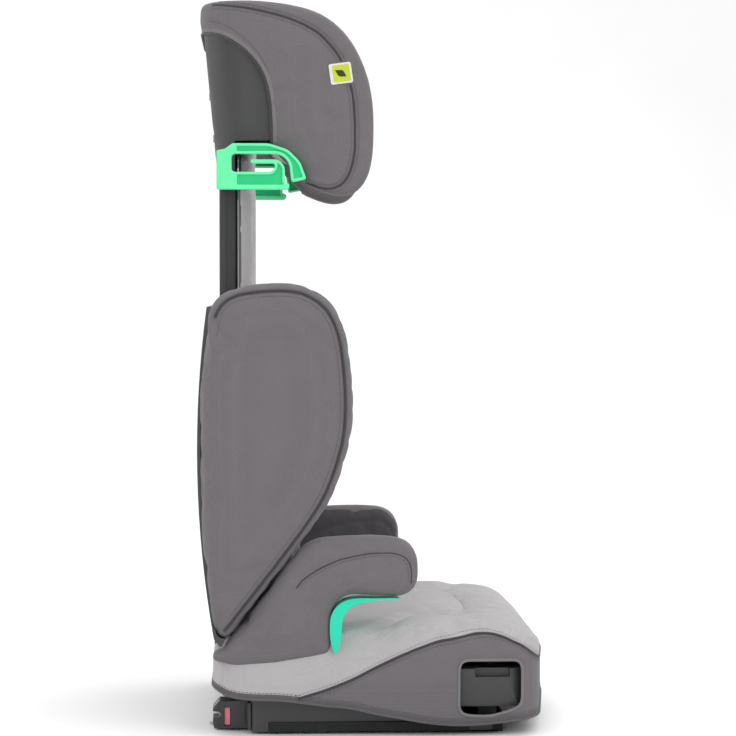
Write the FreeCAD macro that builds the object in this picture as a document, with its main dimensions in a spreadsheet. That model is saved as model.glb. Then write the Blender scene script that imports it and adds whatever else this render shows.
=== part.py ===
"""High-back booster seat for a car, built as an assembly of separate pieces, in millimetres.

The seat faces -Y, +Z is up and X = 0 is its plane of symmetry, so the child's right is -X.
The origin is the middle of the seat's outer box, on the surface that it stands on.
Pieces of the right side are drawn once, and the left ones are their mirror images.
"""

import FreeCAD
import Part

import math
import os

from FreeCAD import Placement, Rotation, Vector

# alias, value, meaning: the driving dimensions, in millimetres and degrees
DIMENSIONS = [
    ("seat_half", 215, "half width over the seat cover"),
    ("seat_rear", 190, "rear face of the seat cover"),
    ("seat_front", -207, "front of the seat cover"),
    ("seat_top", 127, "highest line of the seat cover"),
    ("skin", 4, "thickness of the seat cover"),
    ("foam", 24, "thickness of the seat foam"),
    ("wall", 3.2, "wall of the moulded pieces"),
    ("gap", 0.3, "gap between pieces that only lie side by side"),
    ("tray_half", 188, "half width of the lower tray"),
    ("tray_floor", 3, "underside of the lower tray"),
    ("tray_height", 41, "height of the lower tray"),
    ("strip_width", 55, "width of one anti-slip strip"),
    ("arm_outer", 222, "outer face of an armrest and of a backrest wing"),
    ("arm_width", 44, "width of an armrest"),
    ("arm_core", 14, "thickness of an armrest's core"),
    ("arm_round", 7, "rounding of an armrest's long edges"),
    ("wing_width", 41, "width of a backrest wing"),
    ("wing_round", 9, "rounding of a wing's edge"),
    ("wing_inset", 13, "distance from a wing's edge to that of its plate"),
    ("hinge_rear", 178, "backrest hinge axis, along Y"),
    ("hinge_high", 98, "backrest hinge axis, above the floor"),
    ("hinge_rod", 5, "radius of the hinge rod"),
    ("running", 0.05, "radial clearance of a turning fit"),
    ("back_half", 174, "half width of the backrest cushion"),
    ("back_low", 113, "lower edge of the backrest cushion"),
    ("back_high", 436, "upper edge of the backrest cushion"),
    ("back_depth", 40, "thickness of the backrest cushion"),
    ("back_face", 135, "rear face of the backrest cushion"),
    ("plate", 4, "thickness of the backrest's rear plate"),
    ("rail_half", 80, "half distance between the mast channel's walls"),
    ("mast_half", 52, "half width of the mast"),
    ("mast_front", 162, "front face of the mast"),
    ("mast_rear", 183.2, "rear face of the mast"),
    ("mast_low", 395, "lower end of the mast"),
    ("mast_high", 760, "upper end of the mast"),
    ("mast_pad_half", 72, "half width of the mast's cover"),
    ("step", 17, "distance between two notches of the height rack"),
    ("notches", 11, "number of notches"),
    ("head_half", 146, "half width over the headrest shell"),
    ("head_back", 187.5, "rear face of the headrest shell at its lower edge"),
    ("head_low", 674, "lower edge of the headrest shell"),
    ("head_tilt", 0.094, "rearward lean of the headrest, mm per mm of height"),
    ("head_splay", 0.023, "outward splay of the headrest's sides, mm per mm towards the front"),
    ("head_inner", 108, "half width between the headrest's side pads"),
    ("guide_inner", 154, "inner face of a shoulder belt guide"),
    ("guide_width", 12, "thickness of a shoulder belt guide"),
    ("guide_rear", 184.7, "rear end of a shoulder belt guide"),
    ("guide_low", 624.7, "lower edge of a shoulder belt guide"),
    ("cup_y", -130, "centre of a cup well, along Y"),
    ("cup_x", 163, "centre of a cup well, along X"),
    ("cup_well", 33, "radius of a cup well"),
    ("cup_low", 33.5, "underside of a cup holder"),
    ("cup_height", 43.5, "height of a cup holder"),
    ("connector_x", 140, "half distance between the car's two anchor bars"),
    ("connector_half", 17, "half width of a connector"),
    ("anchor_seat", 3.15, "radius of the seat for a 6 mm anchor bar"),
    ("anchor_y", 184.2, "centre of the anchor bar's seat, along Y"),
    ("anchor_z", 18, "centre of the anchor bar's seat, above the floor"),
    ("claw_y", 176, "claw pivot, along Y"),
    ("claw_z", 7, "claw pivot, above the floor"),
    ("claw_pin", 2, "radius of the claw's pin"),
    ("claw_gap", 6.6, "slot for the claw in a connector"),
    ("claw_room", 15.3, "top of the claw's slot"),
    ("button_room", 7.2, "depth of a release button's pocket"),
]

# A backrest wing seen from the side: Y, Z and corner radius.
WING_OUTLINE = [
    (181.5, 101, 10), (204, 208, 250), (206.5, 400, 250), (193, 515, 40), (44, 516, 90),
    (24.5, 301, 200),
]

# An armrest and its core seen from the side: Y, Z and corner radius.
ARM_OUTLINE = [
    (53, 93, 10), (53, 166, 28), (-44.5, 166, 24), (-44.5, 228, 30), (80, 226.5, 42),
    (177.5, 102.2, 6), (191, 98, 10), (191, 80, 9),
]
ARM_CORE_OUTLINE = [
    (62, 60, 2), (62, 175, 37), (-35.5, 175, 15), (-35.5, 219, 21), (75, 217.5, 33),
    (154, 116, 20), (158, 60, 2),
]

# The headrest seen from the side: Y, Z and corner radius.
HEADREST_OUTLINE = [
    (187, 674, 3), (203, 800, 30), (203, 843, 18), (75, 845, 70), (5, 762, 60), (5, 620, 32),
    (60, 617, 34), (122, 674, 16),
]

# The part of the headrest's rear that its cover leaves bare: Y, Z and corner radius.
BARE_OUTLINE = [(240, 650, 0), (240, 812, 0), (168, 812, 28), (122, 765, 60), (117, 650, 0)]

# A shoulder belt guide: distance forward of its rear end, height above its lower edge, radius.
GUIDE_OUTLINE = [
    (0, 0, 2), (0, 45, 2), (9.8, 46.6, 3), (18.5, 53, 4), (62, 53, 24), (88, 42, 16), (103.5, 12, 2),
    (86, 8.5, 3), (82.5, 41, 18), (17.4, 40.8, 4), (17.4, 20.3, 4), (67, 20.3, 7), (67, 30, 2.5),
    (39.3, 30, 2), (39.3, 34.6, 2), (78.6, 34.6, 13), (78.6, 9, 2), (84, 6, 2), (83, 0, 4),
]

document = FreeCAD.newDocument("booster_seat")
sheet = document.addObject("Spreadsheet::Sheet", "Dims")
for row, (alias, value, meaning) in enumerate(DIMENSIONS, start=1):
    sheet.set(f"A{row}", meaning)
    sheet.set(f"B{row}", str(value))
    sheet.setAlias(f"B{row}", alias)
document.recompute()

nodes = {}


def size(alias):
    """A driving dimension, as the sheet holds it."""
    return float(sheet.get(alias))


def keep(name, piece):
    """Makes an object of the document one of the seat's sub-parts."""
    piece.Label = name
    nodes[name] = piece
    return piece


# ---------------------------------------------------------------- outlines


def rounded(corners):
    """A closed outline of straight runs joined by tangent arcs. A corner is (across, up, radius)."""
    count = len(corners)
    places = [Vector(a, b, 0) for a, b, _ in corners]
    arcs, ends = [], []
    for i, (_, _, radius) in enumerate(corners):
        here = places[i]
        back = (places[i - 1] - here).normalize()
        ahead = (places[(i + 1) % count] - here).normalize()
        half = back.getAngle(ahead) / 2
        reach = radius / math.tan(half)
        start, end = here + back * reach, here + ahead * reach
        ends.append((start, end))
        if radius:
            inward = (back + ahead).normalize()
            middle = here + inward * (radius / math.sin(half) - radius)
            arcs.append(Part.Arc(start, middle, end))
        else:
            arcs.append(None)
    edges = []
    for i in range(count):
        if arcs[i]:
            edges.append(arcs[i])
        start, end = ends[i][1], ends[(i + 1) % count][0]
        if (end - start).Length > 1e-4:
            edges.append(Part.LineSegment(start, end))
    return edges


def rectangle(low_a, low_b, high_a, high_b, radius=0):
    return rounded([(low_a, low_b, radius), (high_a, low_b, radius), (high_a, high_b, radius),
                    (low_a, high_b, radius)])


def circle(a, b, radius):
    return [Part.Circle(Vector(a, b, 0), Vector(0, 0, 1), radius)]


def between_arcs(outer, inner):
    """A closed strip between two arcs, each given by its first, middle and last point."""
    a, b, c = [Vector(*p, 0) for p in outer]
    d, e, f = [Vector(*p, 0) for p in inner]
    return [Part.Arc(a, b, c), Part.LineSegment(c, f), Part.Arc(f, e, d), Part.LineSegment(d, a)]


# ---------------------------------------------------------------- features


def sketch(body, plane, outline, offset):
    """A sketch on one of the body's own planes, moved along that plane's normal by offset."""
    drawing = body.newObject("Sketcher::SketchObject", body.Name + "_sketch")
    support = next(f for f in body.Origin.OriginFeatures if f.Role == plane + "_Plane")
    drawing.AttachmentSupport = [(support, "")]
    drawing.MapMode = "FlatFace"
    drawing.setExpression("AttachmentOffset.Base.z", offset)
    for edge in outline:
        drawing.addGeometry(edge, False)
    return drawing


def pad(name, plane, outline, offset, length):
    """A body padded from the outline. offset and length are expressions over the sheet's cells."""
    body = document.addObject("PartDesign::Body", name)
    feature = body.newObject("PartDesign::Pad", name + "_pad")
    feature.Profile = sketch(body, plane, outline, offset)
    feature.setExpression("Length", length)
    document.recompute()
    return body


def pocket(body, plane, outline, offset, depth):
    """Cuts the outline into a body, from offset down against the plane's normal."""
    before = body.Shape.Volume
    feature = body.newObject("PartDesign::Pocket", body.Name + "_pocket")
    feature.Profile = sketch(body, plane, outline, offset)
    feature.setExpression("Length", depth)
    document.recompute()
    if body.Shape.Volume >= before - 1e-3:
        raise ValueError(f"a pocket of {body.Name} cuts nothing")
    return feature


def round_faces(body, across, radius):
    """Rounds every edge of a body that lies in one of the planes X = across."""
    tip = body.Tip
    names = []
    for number, edge in enumerate(tip.Shape.Edges, start=1):
        box = edge.BoundBox
        if any(abs(box.XMin - x) < 1e-3 and abs(box.XMax - x) < 1e-3 for x in across):
            names.append(f"Edge{number}")
    feature = body.newObject("PartDesign::Fillet", body.Name + "_round")
    feature.Base = (tip, names)
    feature.setExpression("Radius", radius)
    document.recompute()
    return body


def block(name, low, high):
    """A box between two corners, each three expressions over the sheet's cells."""
    piece = document.addObject("Part::Box", name)
    for axis, side, a, b in zip("xyz", ("Length", "Width", "Height"), low, high):
        piece.setExpression("Placement.Base." + axis, a)
        piece.setExpression(side, f"({b}) - ({a})")
    return piece


def rod(name, direction, centre, radius, length):
    """A cylinder along X, Y or Z that starts at centre. All sizes are expressions."""
    piece = document.addObject("Part::Cylinder", name)
    turns = {
        "X": Rotation(Vector(0, 0, 1), Vector(1, 0, 0)),
        "Y": Rotation(Vector(0, 0, 1), Vector(0, 1, 0)),
        "Z": Rotation(),
    }
    piece.Placement = Placement(Vector(), turns[direction])
    for axis, place in zip("xyz", centre):
        piece.setExpression("Placement.Base." + axis, place)
    piece.setExpression("Radius", radius)
    piece.setExpression("Height", length)
    return piece


def cut(name, base, *tools):
    for number, tool in enumerate(tools, start=1):
        result = document.addObject("Part::Cut", f"{name}_{number}")
        result.Base, result.Tool = base, tool
        base = result
    return base


def join(name, *pieces):
    result = document.addObject("Part::MultiFuse", name)
    result.Shapes = list(pieces)
    return result


def overlap(name, *pieces):
    result = document.addObject("Part::MultiCommon", name)
    result.Shapes = list(pieces)
    return result


def mirrored(name, source):
    result = document.addObject("Part::Mirroring", name)
    result.Source = source
    result.Normal = Vector(1, 0, 0)
    return result


def keep_both(name, right):
    """Keeps a right-hand piece and its mirror image."""
    keep(name + "_right", right)
    keep(name + "_left", mirrored(name + "_mirror", right))


# ---------------------------------------------------------------- seat base


def seat_block(name, inset, lowered=0.0, lift=0.0):
    """The seat's rounded block, common to its plan, side and front outlines.

    inset moves the faces inwards, lowered takes the top down and lift moves the lower edge.
    """
    half, rear, front = size("seat_half") - inset, size("seat_rear") - inset, size("seat_front") + inset
    top = size("seat_top") - inset - lowered
    shoulder = max(38 - inset - lowered, 10)
    nose = max(58 - inset - lowered, 26)
    heel = min(58 + lift, top - 57)
    plan = rounded([
        (-half, rear, 40), (half, rear, 40), (half, front + 25, 45), (10, front, 150), (-10, front, 150),
        (-half, front + 25, 45),
    ])
    side = rounded([
        (rear, top - 31, 8), (60, top - 15, 60), (-60, top, 150), (front, top, nose),
        (front, 18 + lift, 25), (-120, 9 + lift, 60), (-30, 14 + lift, 60), (20, 34 + lift, 60),
        (165, 43 + lift, 25), (rear, heel, 15),
    ])
    low = 5 + min(lift, 0)
    face = rounded([
        (-half, top, shoulder), (half, top, shoulder), (half, 70, 60), (half - 17, low, 8),
        (17 - half, low, 8), (-half, 70, 60),
    ])
    return overlap(
        name,
        pad(name + "_plan", "XY", plan, "-60 mm", "240 mm"),
        pad(name + "_side", "YZ", side, "-250 mm", "500 mm"),
        pad(name + "_face", "XZ", face, "-250 mm", "500 mm"),
    )


def seat():
    """The seat's pan, foam and cover, with room for the armrests, the hinge and the cup holders."""
    skin, foam, wall, gap = size("skin"), size("foam"), size("wall"), size("gap")
    arm_room = pad("arm_room", "YZ", rounded([
        (52.7, 92.5, 0), (240, 75, 0), (240, 240, 0), (52.7, 240, 0),
    ]), "-(Dims.arm_outer + 20)", "Dims.arm_width + 20.4")
    hinge_room = block("hinge_room", ("-170", "157.5", "72"), ("170", "200", "140"))
    hinge_bed = block("hinge_bed", ("-170", "157.5", "50"), ("170", "200", "140"))
    cup_room = block("cup_room", ("-240", "-170", "31"), ("-150", "-90", "89"))
    core_room = block("core_room", ("-240", "55", "50"), ("-Dims.arm_outer + 29.5", "200", "140"))
    rooms = [arm_room, mirrored("arm_room_left", arm_room)]
    core_rooms = [core_room, mirrored("core_room_left", core_room)]
    cup_rooms = [cup_room, mirrored("cup_room_left", cup_room)]

    outer = seat_block("cover_outer", 0)
    inner = seat_block("cover_inner", skin, lift=-30)
    keep("seat_cover", cut("seat_cover_cut", outer, inner, *rooms, hinge_room, *cup_rooms))

    slab = seat_block("foam_outer", skin + gap, lift=-10)
    below = seat_block("foam_below", -6, lowered=foam + skin + gap + 6, lift=-60)
    keep("seat_foam", cut("seat_foam_cut", slab, below, *rooms, *core_rooms, hinge_bed))

    lowered = foam + gap
    pan = seat_block("pan_outer", skin + gap, lowered=lowered, lift=3)
    hollow = seat_block("pan_inner", skin + gap + wall, lowered=lowered, lift=-40)
    keep("seat_pan", cut("seat_pan_cut", pan, hollow, *cup_rooms))
    return seat_block("pan_solid", skin + gap - 0.01, lowered=lowered, lift=-60), outer


def tray():
    """The lower tray with its posts, ribs and openings, the strips that it stands on and its screws."""
    half = size("tray_half")
    notch = 116

    def plan(inset):
        wide, narrow = half - inset, notch - inset
        return rounded([
            (-wide, -150 + inset, 26), (wide, -150 + inset, 26), (wide, 146 - inset, 5),
            (narrow, 146 - inset, 2), (narrow, 176 - inset, 8), (-narrow, 176 - inset, 8),
            (-narrow, 146 - inset, 2), (-wide, 146 - inset, 5),
        ])

    body = pad("tray", "XY", plan(0), "Dims.tray_floor", "Dims.tray_height")
    pocket(body, "XY", plan(size("wall")), "Dims.tray_floor + Dims.tray_height", "Dims.tray_height - 3")
    slope = pad("tray_slope", "YZ", rounded([
        (-160, 12, 0), (-30, 16, 60), (20, 36, 60), (200, 43.4, 0), (200, 60, 0), (-160, 60, 0),
    ]), "-250", "500")
    connector_way = block("connector_way", ("-158", "126.5", "-1"), ("-122", "160", "35"))
    handle_way = block("handle_way", ("-34", "-160", "7.5"), ("34", "-140", "60"))
    shell = cut("tray_shell", body, slope, connector_way, mirrored("connector_way_left", connector_way),
                handle_way)
    posts, screws = [], []
    for side, x in (("right", -90), ("left", 90)):
        for end, y, high in (("front", -128, 94), ("rear", 122, 71)):
            name = f"{end}_{side}"
            posts.append(rod("post_" + name, "Z", (f"{x}", f"{y}", "4"), "7", f"{high} - 4"))
            screws.append(join("screw_" + name,
                               rod("head_" + name, "Z", (f"{x}", f"{y}", "0.8"), "4.5", "3.2"),
                               rod("shank_" + name, "Z", (f"{x}", f"{y}", "3.9"), "2", "40")))
    ribs = [block(f"rib_{i}", ("-108", f"{y}", "4"), ("108", f"{y + 3}", "11"))
            for i, y in enumerate((-100, -60, 140))]
    keep("base_screws", join("base_screws_group", *screws))
    keep("base_tray", cut("base_tray_cut", join("tray_with_posts", shell, *posts, *ribs),
                          nodes["base_screws"]))

    footprint = rectangle(-172, -132, -172 + size("strip_width"), 126, 10)
    strip = pad("strip", "XY", footprint, "0", "Dims.tray_floor")
    keep("anti_slip_strips", join("strips", strip, mirrored("strip_left", strip)))


def hinge_and_brackets(pan_solid):
    """The rod that the backrest turns on and the two brackets that hold it."""
    y, z = size("hinge_rear"), size("hinge_high")
    bracket = pad("bracket", "YZ", rounded([
        (158, 60, 0), (185.4, 60, 0), (185.4, 74, 0), (189, 80, 0), (189, z + 11, 10),
        (y - 11, z + 11, 10),
    ]), "-98", "12")
    pocket(bracket, "YZ", circle(y, z, size("hinge_rod")), "-80", "30")
    keep_both("hinge_bracket", cut("hinge_bracket_cut", bracket, pan_solid))
    keep("hinge_rod", rod("hinge_rod_bar", "X", ("-114", "Dims.hinge_rear", "Dims.hinge_high"),
                          "Dims.hinge_rod", "228"))


def armrests(pan_solid, cover_outer):
    """Each armrest is a moulded core in a padded cover, with a belt guide under its elbow."""
    core = pad("arm_core", "YZ", rounded(ARM_CORE_OUTLINE), "-(Dims.arm_outer - 15)", "Dims.arm_core")
    padding = pad("arm_padding", "YZ", rounded(ARM_OUTLINE), "-Dims.arm_outer", "Dims.arm_width")
    outer = -size("arm_outer")
    round_faces(padding, (outer, outer + size("arm_width")), "Dims.arm_round")
    keep_both("armrest_core", cut("armrest_core_cut", core, pan_solid))
    keep_both("armrest_cover", cut("armrest_cover_cut", padding, core))
    guide = pad("lap_guide", "YZ", rounded([
        (52.7, 90, 0), (52.7, 165.7, 28.3), (-14, 165.7, 0.5), (-14, 164, 0.5), (6, 162, 20),
        (45, 158, 24), (44, 90, 0),
    ]), "-215", "32")
    keep_both("lap_belt_guide", cut("lap_belt_guide_cut", guide, cover_outer))


def cup_holders():
    """Drawers with a cup well, which slide out of the seat's sides on a shelf."""
    x, y = -size("cup_x"), size("cup_y")
    box = pad("cup_box", "XY", rectangle(-230, y - 37, x + 42, y + 37, 7), "Dims.cup_low", "Dims.cup_height")
    well = rod("cup_well_room", "Z", ("-Dims.cup_x", "Dims.cup_y", "Dims.cup_low + 5"), "Dims.cup_well", "60")
    lip = block("cup_lip_room", ("-250", "Dims.cup_y - 20", "Dims.cup_low + 34"),
                ("-Dims.cup_x - Dims.cup_well - 4", "Dims.cup_y + 20", "Dims.cup_low + 60"))
    face = seat_block("cup_face", 7, lift=-20)
    drawer = cut("cup_holder_cut", overlap("cup_drawer", box, face), well)
    keep_both("cup_holder", cut("cup_holder_lip", drawer, lip))
    shelf = join("cup_shelf_join",
                 block("cup_shelf", ("-176", "-160", "30.2"), ("-112", "-95", "33.2")),
                 block("cup_leg", ("-150", "-140", "6"), ("-132", "-118", "31")))
    keep_both("cup_shelf", shelf)


def connectors():
    """The anchor connectors on their sliding steel frame, with claws, pins, buttons and rails."""
    centre, half = size("connector_x"), size("connector_half")
    y, z, seat_radius = size("anchor_y"), size("anchor_z"), size("anchor_seat")
    head = pad("connector", "YZ", rounded([
        (188.5, 2, 1), (190, 9, 2), (190, 25, 2), (183, 33.5, 3), (128, 33.5, 3), (128, 2, 2),
    ]), "-(Dims.connector_x + Dims.connector_half)", "2 * Dims.connector_half")
    top, bottom = Vector(y, z + seat_radius, 0), Vector(y, z - seat_radius, 0)
    mouth_top, mouth_bottom = Vector(200, z + seat_radius + 1.5, 0), Vector(200, z - seat_radius - 1.5, 0)
    anchor_slot = [
        Part.Arc(top, Vector(y - seat_radius, z, 0), bottom),
        Part.LineSegment(bottom, mouth_bottom),
        Part.LineSegment(mouth_bottom, mouth_top),
        Part.LineSegment(mouth_top, top),
    ]
    pocket(head, "YZ", anchor_slot, "-100", "100")
    pocket(head, "YZ", circle(size("claw_y"), size("claw_z"), size("claw_pin")), "-100", "100")
    gap = size("claw_gap") / 2
    pocket(head, "XY", rectangle(-centre - gap, 160, -centre + gap, 200), "Dims.claw_room", "20")
    outer_face = -centre - half
    pocket(head, "YZ", rectangle(170.1, 6, 176.7, 26.4, 1), f"{outer_face} + Dims.button_room", "10")
    keep_both("connector_head", head)

    claw = pad("claw", "YZ", rounded([
        (171, 2.4, 2), (194, 3.4, 2), (194.5, 7.2, 1), (184, 7.6, 3), (180, 12, 3), (172, 12, 3),
    ]), "-(Dims.connector_x + 2.5)", "5")
    eye = circle(size("claw_y"), size("claw_z"), size("claw_pin") + size("running"))
    pocket(claw, "YZ", eye, "-100", "60")
    keep_both("connector_claw", claw)
    pin_end = ("-(Dims.connector_x + 9.5)", "Dims.claw_y", "Dims.claw_z")
    keep_both("claw_pin", rod("claw_pin_rod", "X", pin_end, "Dims.claw_pin", "19"))
    button = pad("release_button", "YZ", rectangle(170.3, 6.2, 176.5, 26.2, 1), f"{outer_face - 1}", "5.7")
    keep_both("release_button", button)

    corner = ("-(Dims.connector_x + 8)", "-25", "12")
    bar = block("frame_bar", corner, ("-(Dims.connector_x - 8)", "128", "24"))
    cross = block("frame_cross", corner, ("Dims.connector_x + 8", "-9", "24"))
    keep("connector_frame", join("connector_frame_join", bar, mirrored("frame_bar_left", bar), cross))

    rail = pad("rail", "XZ", rounded([
        (-153, 6, 0), (-129, 6, 0), (-129, 11.6, 1), (-148.8, 11.6, 1), (-148.8, 25, 1), (-153, 25, 1),
    ]), "-126", "138")
    keep_both("connector_rail", rail)

    guard = pad("guard", "YZ", rounded([
        (179, 3, 2), (180.9, 9, 2), (180.9, 33.5, 3), (146.3, 36, 2), (146.3, 3, 2),
    ]), "-162.5", "4")
    pocket(guard, "YZ", rectangle(169.3, 5.4, 177.5, 27, 1.5), "-150", "20")
    pocket(guard, "YZ", rectangle(150, 8, 153, 30, 0.8), "-162.5 + 1.2 + 0.3", "10")
    arm = block("guard_arm", ("-187.5", "146.2", "5"), ("-158.5", "149.4", "36"))
    keep_both("connector_guard", join("guard_join", guard, arm))

    grip = pad("grip", "XY", rectangle(-32, -176, 32, -156, 6), "9", "13")
    stem = block("stem", ("-9", "-158", "12"), ("9", "-34", "18"))
    keep("connector_release", join("connector_release_join", grip, stem))


# ---------------------------------------------------------------- backrest


def wing_outline(inset=0.0):
    """A backrest wing from the side, drawn in by inset."""
    middle_y, middle_z = 118.0, 330.0
    corners = []
    for y, z, radius in WING_OUTLINE:
        reach = math.hypot(y - middle_y, z - middle_z)
        shrink = 1 - inset / reach
        if z < 150 and inset:
            shrink = 1 - 2.5 * inset / reach
        corners.append((middle_y + (y - middle_y) * shrink, middle_z + (z - middle_z) * shrink,
                        max(radius - inset, 8)))
    return rounded(corners)


def backrest():
    """The backrest's rear shell, inner panel, cushion, wings, hooks, height rack and mast guides."""
    inner_arc = ((185, 112), (203, 300), (192, 490))
    behind = pad("behind_plate", "YZ", [
        Part.Arc(*[Vector(*p, 0) for p in inner_arc]),
        Part.LineSegment(Vector(192, 490, 0), Vector(260, 490, 0)),
        Part.LineSegment(Vector(260, 490, 0), Vector(260, 112, 0)),
        Part.LineSegment(Vector(260, 112, 0), Vector(185, 112, 0)),
    ], "-240", "480")
    outer_arc = tuple((y + size("plate"), z) for y, z in inner_arc)
    plate_half = "(Dims.arm_outer - Dims.wing_width - 0.4)"
    plate = pad("rear_plate", "YZ", between_arcs(outer_arc, inner_arc), f"-{plate_half}", f"2 * {plate_half}")
    wing_plate = pad("wing_plate", "YZ", wing_outline(size("wing_inset")), "-202", "4")
    roots = [cut(f"wing_root_cut_{i}", block(f"wing_root_{i}", ("-200", "172", f"{z}"),
                                             ("-176", "198", f"{z + 16}")), behind)
             for i, z in enumerate((170, 280, 390))]
    roots += [mirrored(f"wing_root_left_{i}", root) for i, root in enumerate(roots)]
    channel = cut("channel_wall_cut", block("channel_wall", ("-(Dims.rail_half + 4)", "138.6", "125"),
                                            ("-Dims.rail_half", "206", "434")), behind)
    edge = cut("edge_wall_cut", block("edge_wall", ("-176", "141.6", "125"), ("-172", "206", "300")), behind)
    shell = join(
        "backrest_shell_join", plate, wing_plate, mirrored("wing_plate_left", wing_plate), channel,
        mirrored("channel_left", channel), edge, mirrored("edge_left", edge), *roots)
    keep("backrest_shell", shell)

    padding = pad("wing_padding", "YZ", wing_outline(), "-Dims.arm_outer", "Dims.wing_width")
    outer = -size("arm_outer")
    round_faces(padding, (outer, outer + size("wing_width")), "Dims.wing_round")
    keep_both("wing_cover", cut("wing_cover_cut", padding, shell))

    screws = []
    for side, x in (("right", -62), ("left", 62)):
        for end, z in (("low", 150), ("high", 400)):
            head = rod(f"panel_head_{end}_{side}", "Y", (f"{x}", "135.6", f"{z}"), "4.5", "2.7")
            shank = rod(f"panel_shank_{end}_{side}", "Y", (f"{x}", "138", f"{z}"), "2", "3.3")
            screws.append(join(f"panel_screw_{end}_{side}", head, shank))
    keep("backrest_screws", join("backrest_screws_group", *screws))
    panel = pad("panel", "XZ", rectangle(-176, 116, 176, 432, 28), "-141.3", "3")
    keep("backrest_panel", cut("backrest_panel_cut", panel, shell, nodes["backrest_screws"]))
    cushion = pad("cushion", "XZ", rounded([
        (-size("back_half"), size("back_low"), 24), (size("back_half"), size("back_low"), 24),
        (size("back_half"), size("back_high"), 46), (-size("back_half"), size("back_high"), 46),
    ]), "-Dims.back_face", "Dims.back_depth")
    keep("backrest_cushion", cushion)

    y, z = size("hinge_rear"), size("hinge_high")
    hook = pad("hook", "YZ", rounded([
        (y - 10, z - 10, 9), (y + 10, z - 10, 9), (y + 10, 150, 3), (y - 10, 150, 3),
    ]), "-112", "12")
    pocket(hook, "YZ", circle(y, z, size("hinge_rod") + size("running")), "-90", "30")
    keep_both("hinge_hook", cut("hinge_hook_cut", hook, shell))

    cap = pad("wing_tip", "YZ", rounded([
        (170.5, 123, 1), (179.5, 103, 2.5), (187.5, 113.5, 2.5), (190, 126, 1),
    ]), "-216", "30")
    keep_both("wing_tip", cut("wing_tip_cut", cap, padding, shell))

    rack = pad("rack", "YZ", rectangle(186, 215, 206, 424), "-12", "24")
    low = 405 - size("step") * (size("notches") - 1)
    pocket(rack, "YZ", rounded([(180, low - 4, 0), (189, low - 4, 0), (189, low + 4, 0), (180, low + 7, 0)]),
           "20", "40")
    first = rack.Tip
    rows = rack.newObject("PartDesign::LinearPattern", "rack_rows")
    rows.Originals = [first]
    rows.Direction = (next(f for f in rack.Origin.OriginFeatures if f.Role == "Z_Axis"), [""])
    rows.setExpression("Length", "Dims.step * (Dims.notches - 1)")
    rows.setExpression("Occurrences", "Dims.notches")
    rack.Tip = rows
    keep("height_rack", cut("height_rack_cut", rack, behind))

    guide = block("mast_guide", ("-(Dims.rail_half - 0.2)", "Dims.mast_front + 1", "300"),
                  ("-(Dims.mast_half + 0.5)", "Dims.mast_rear + 1", "434"))
    keep_both("mast_guide", guide)


# ---------------------------------------------------------------- headrest


def leaning(name, outline, low, high):
    """An outline in plan, raised from low to high along the headrest's rearward lean."""
    lean = size("head_tilt")
    shift = lean * (low - size("head_low"))
    body = document.addObject("PartDesign::Body", name)
    drawing = sketch(body, "XY", outline, f"{low} mm")
    drawing.setExpression("AttachmentOffset.Base.y", f"{shift} mm")
    feature = body.newObject("PartDesign::Pad", name + "_pad")
    feature.Profile = drawing
    feature.UseCustomVector = True
    feature.Direction = Vector(0, lean, 1)
    feature.AlongSketchNormal = True
    feature.Length = high - low
    document.recompute()
    return body


def headrest_plan(half, back, corner, front=-30):
    """The headrest from above: two splayed sides and a back with round corners, open in front."""
    wide = half + size("head_splay") * (back - front)
    return rounded([(-wide, front, 0), (wide, front, 0), (half, back, corner), (-half, back, corner)])


def headrest_band(name, outer, inner):
    """A U-shaped wall between two plans, each (half width, back, corner radius)."""
    low, high = 560, 880
    wide = leaning(name + "_outer", headrest_plan(*outer), low, high)
    narrow = leaning(name + "_inner", headrest_plan(*inner, front=-60), low - 10, high + 10)
    return cut(name + "_band", wide, narrow)


def headrest_side(name, inset):
    """A block of the headrest's outline from the side, drawn in by inset at the front, top and bottom."""
    middle_y, middle_z = 100.0, 740.0
    corners = []
    for y, z, radius in HEADREST_OUTLINE:
        forward = inset if y < middle_y else 0
        corners.append((y + forward, z - math.copysign(inset, z - middle_z), max(radius - inset, 2)))
    return pad(name, "YZ", rounded(corners), "-250", "500")


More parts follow.
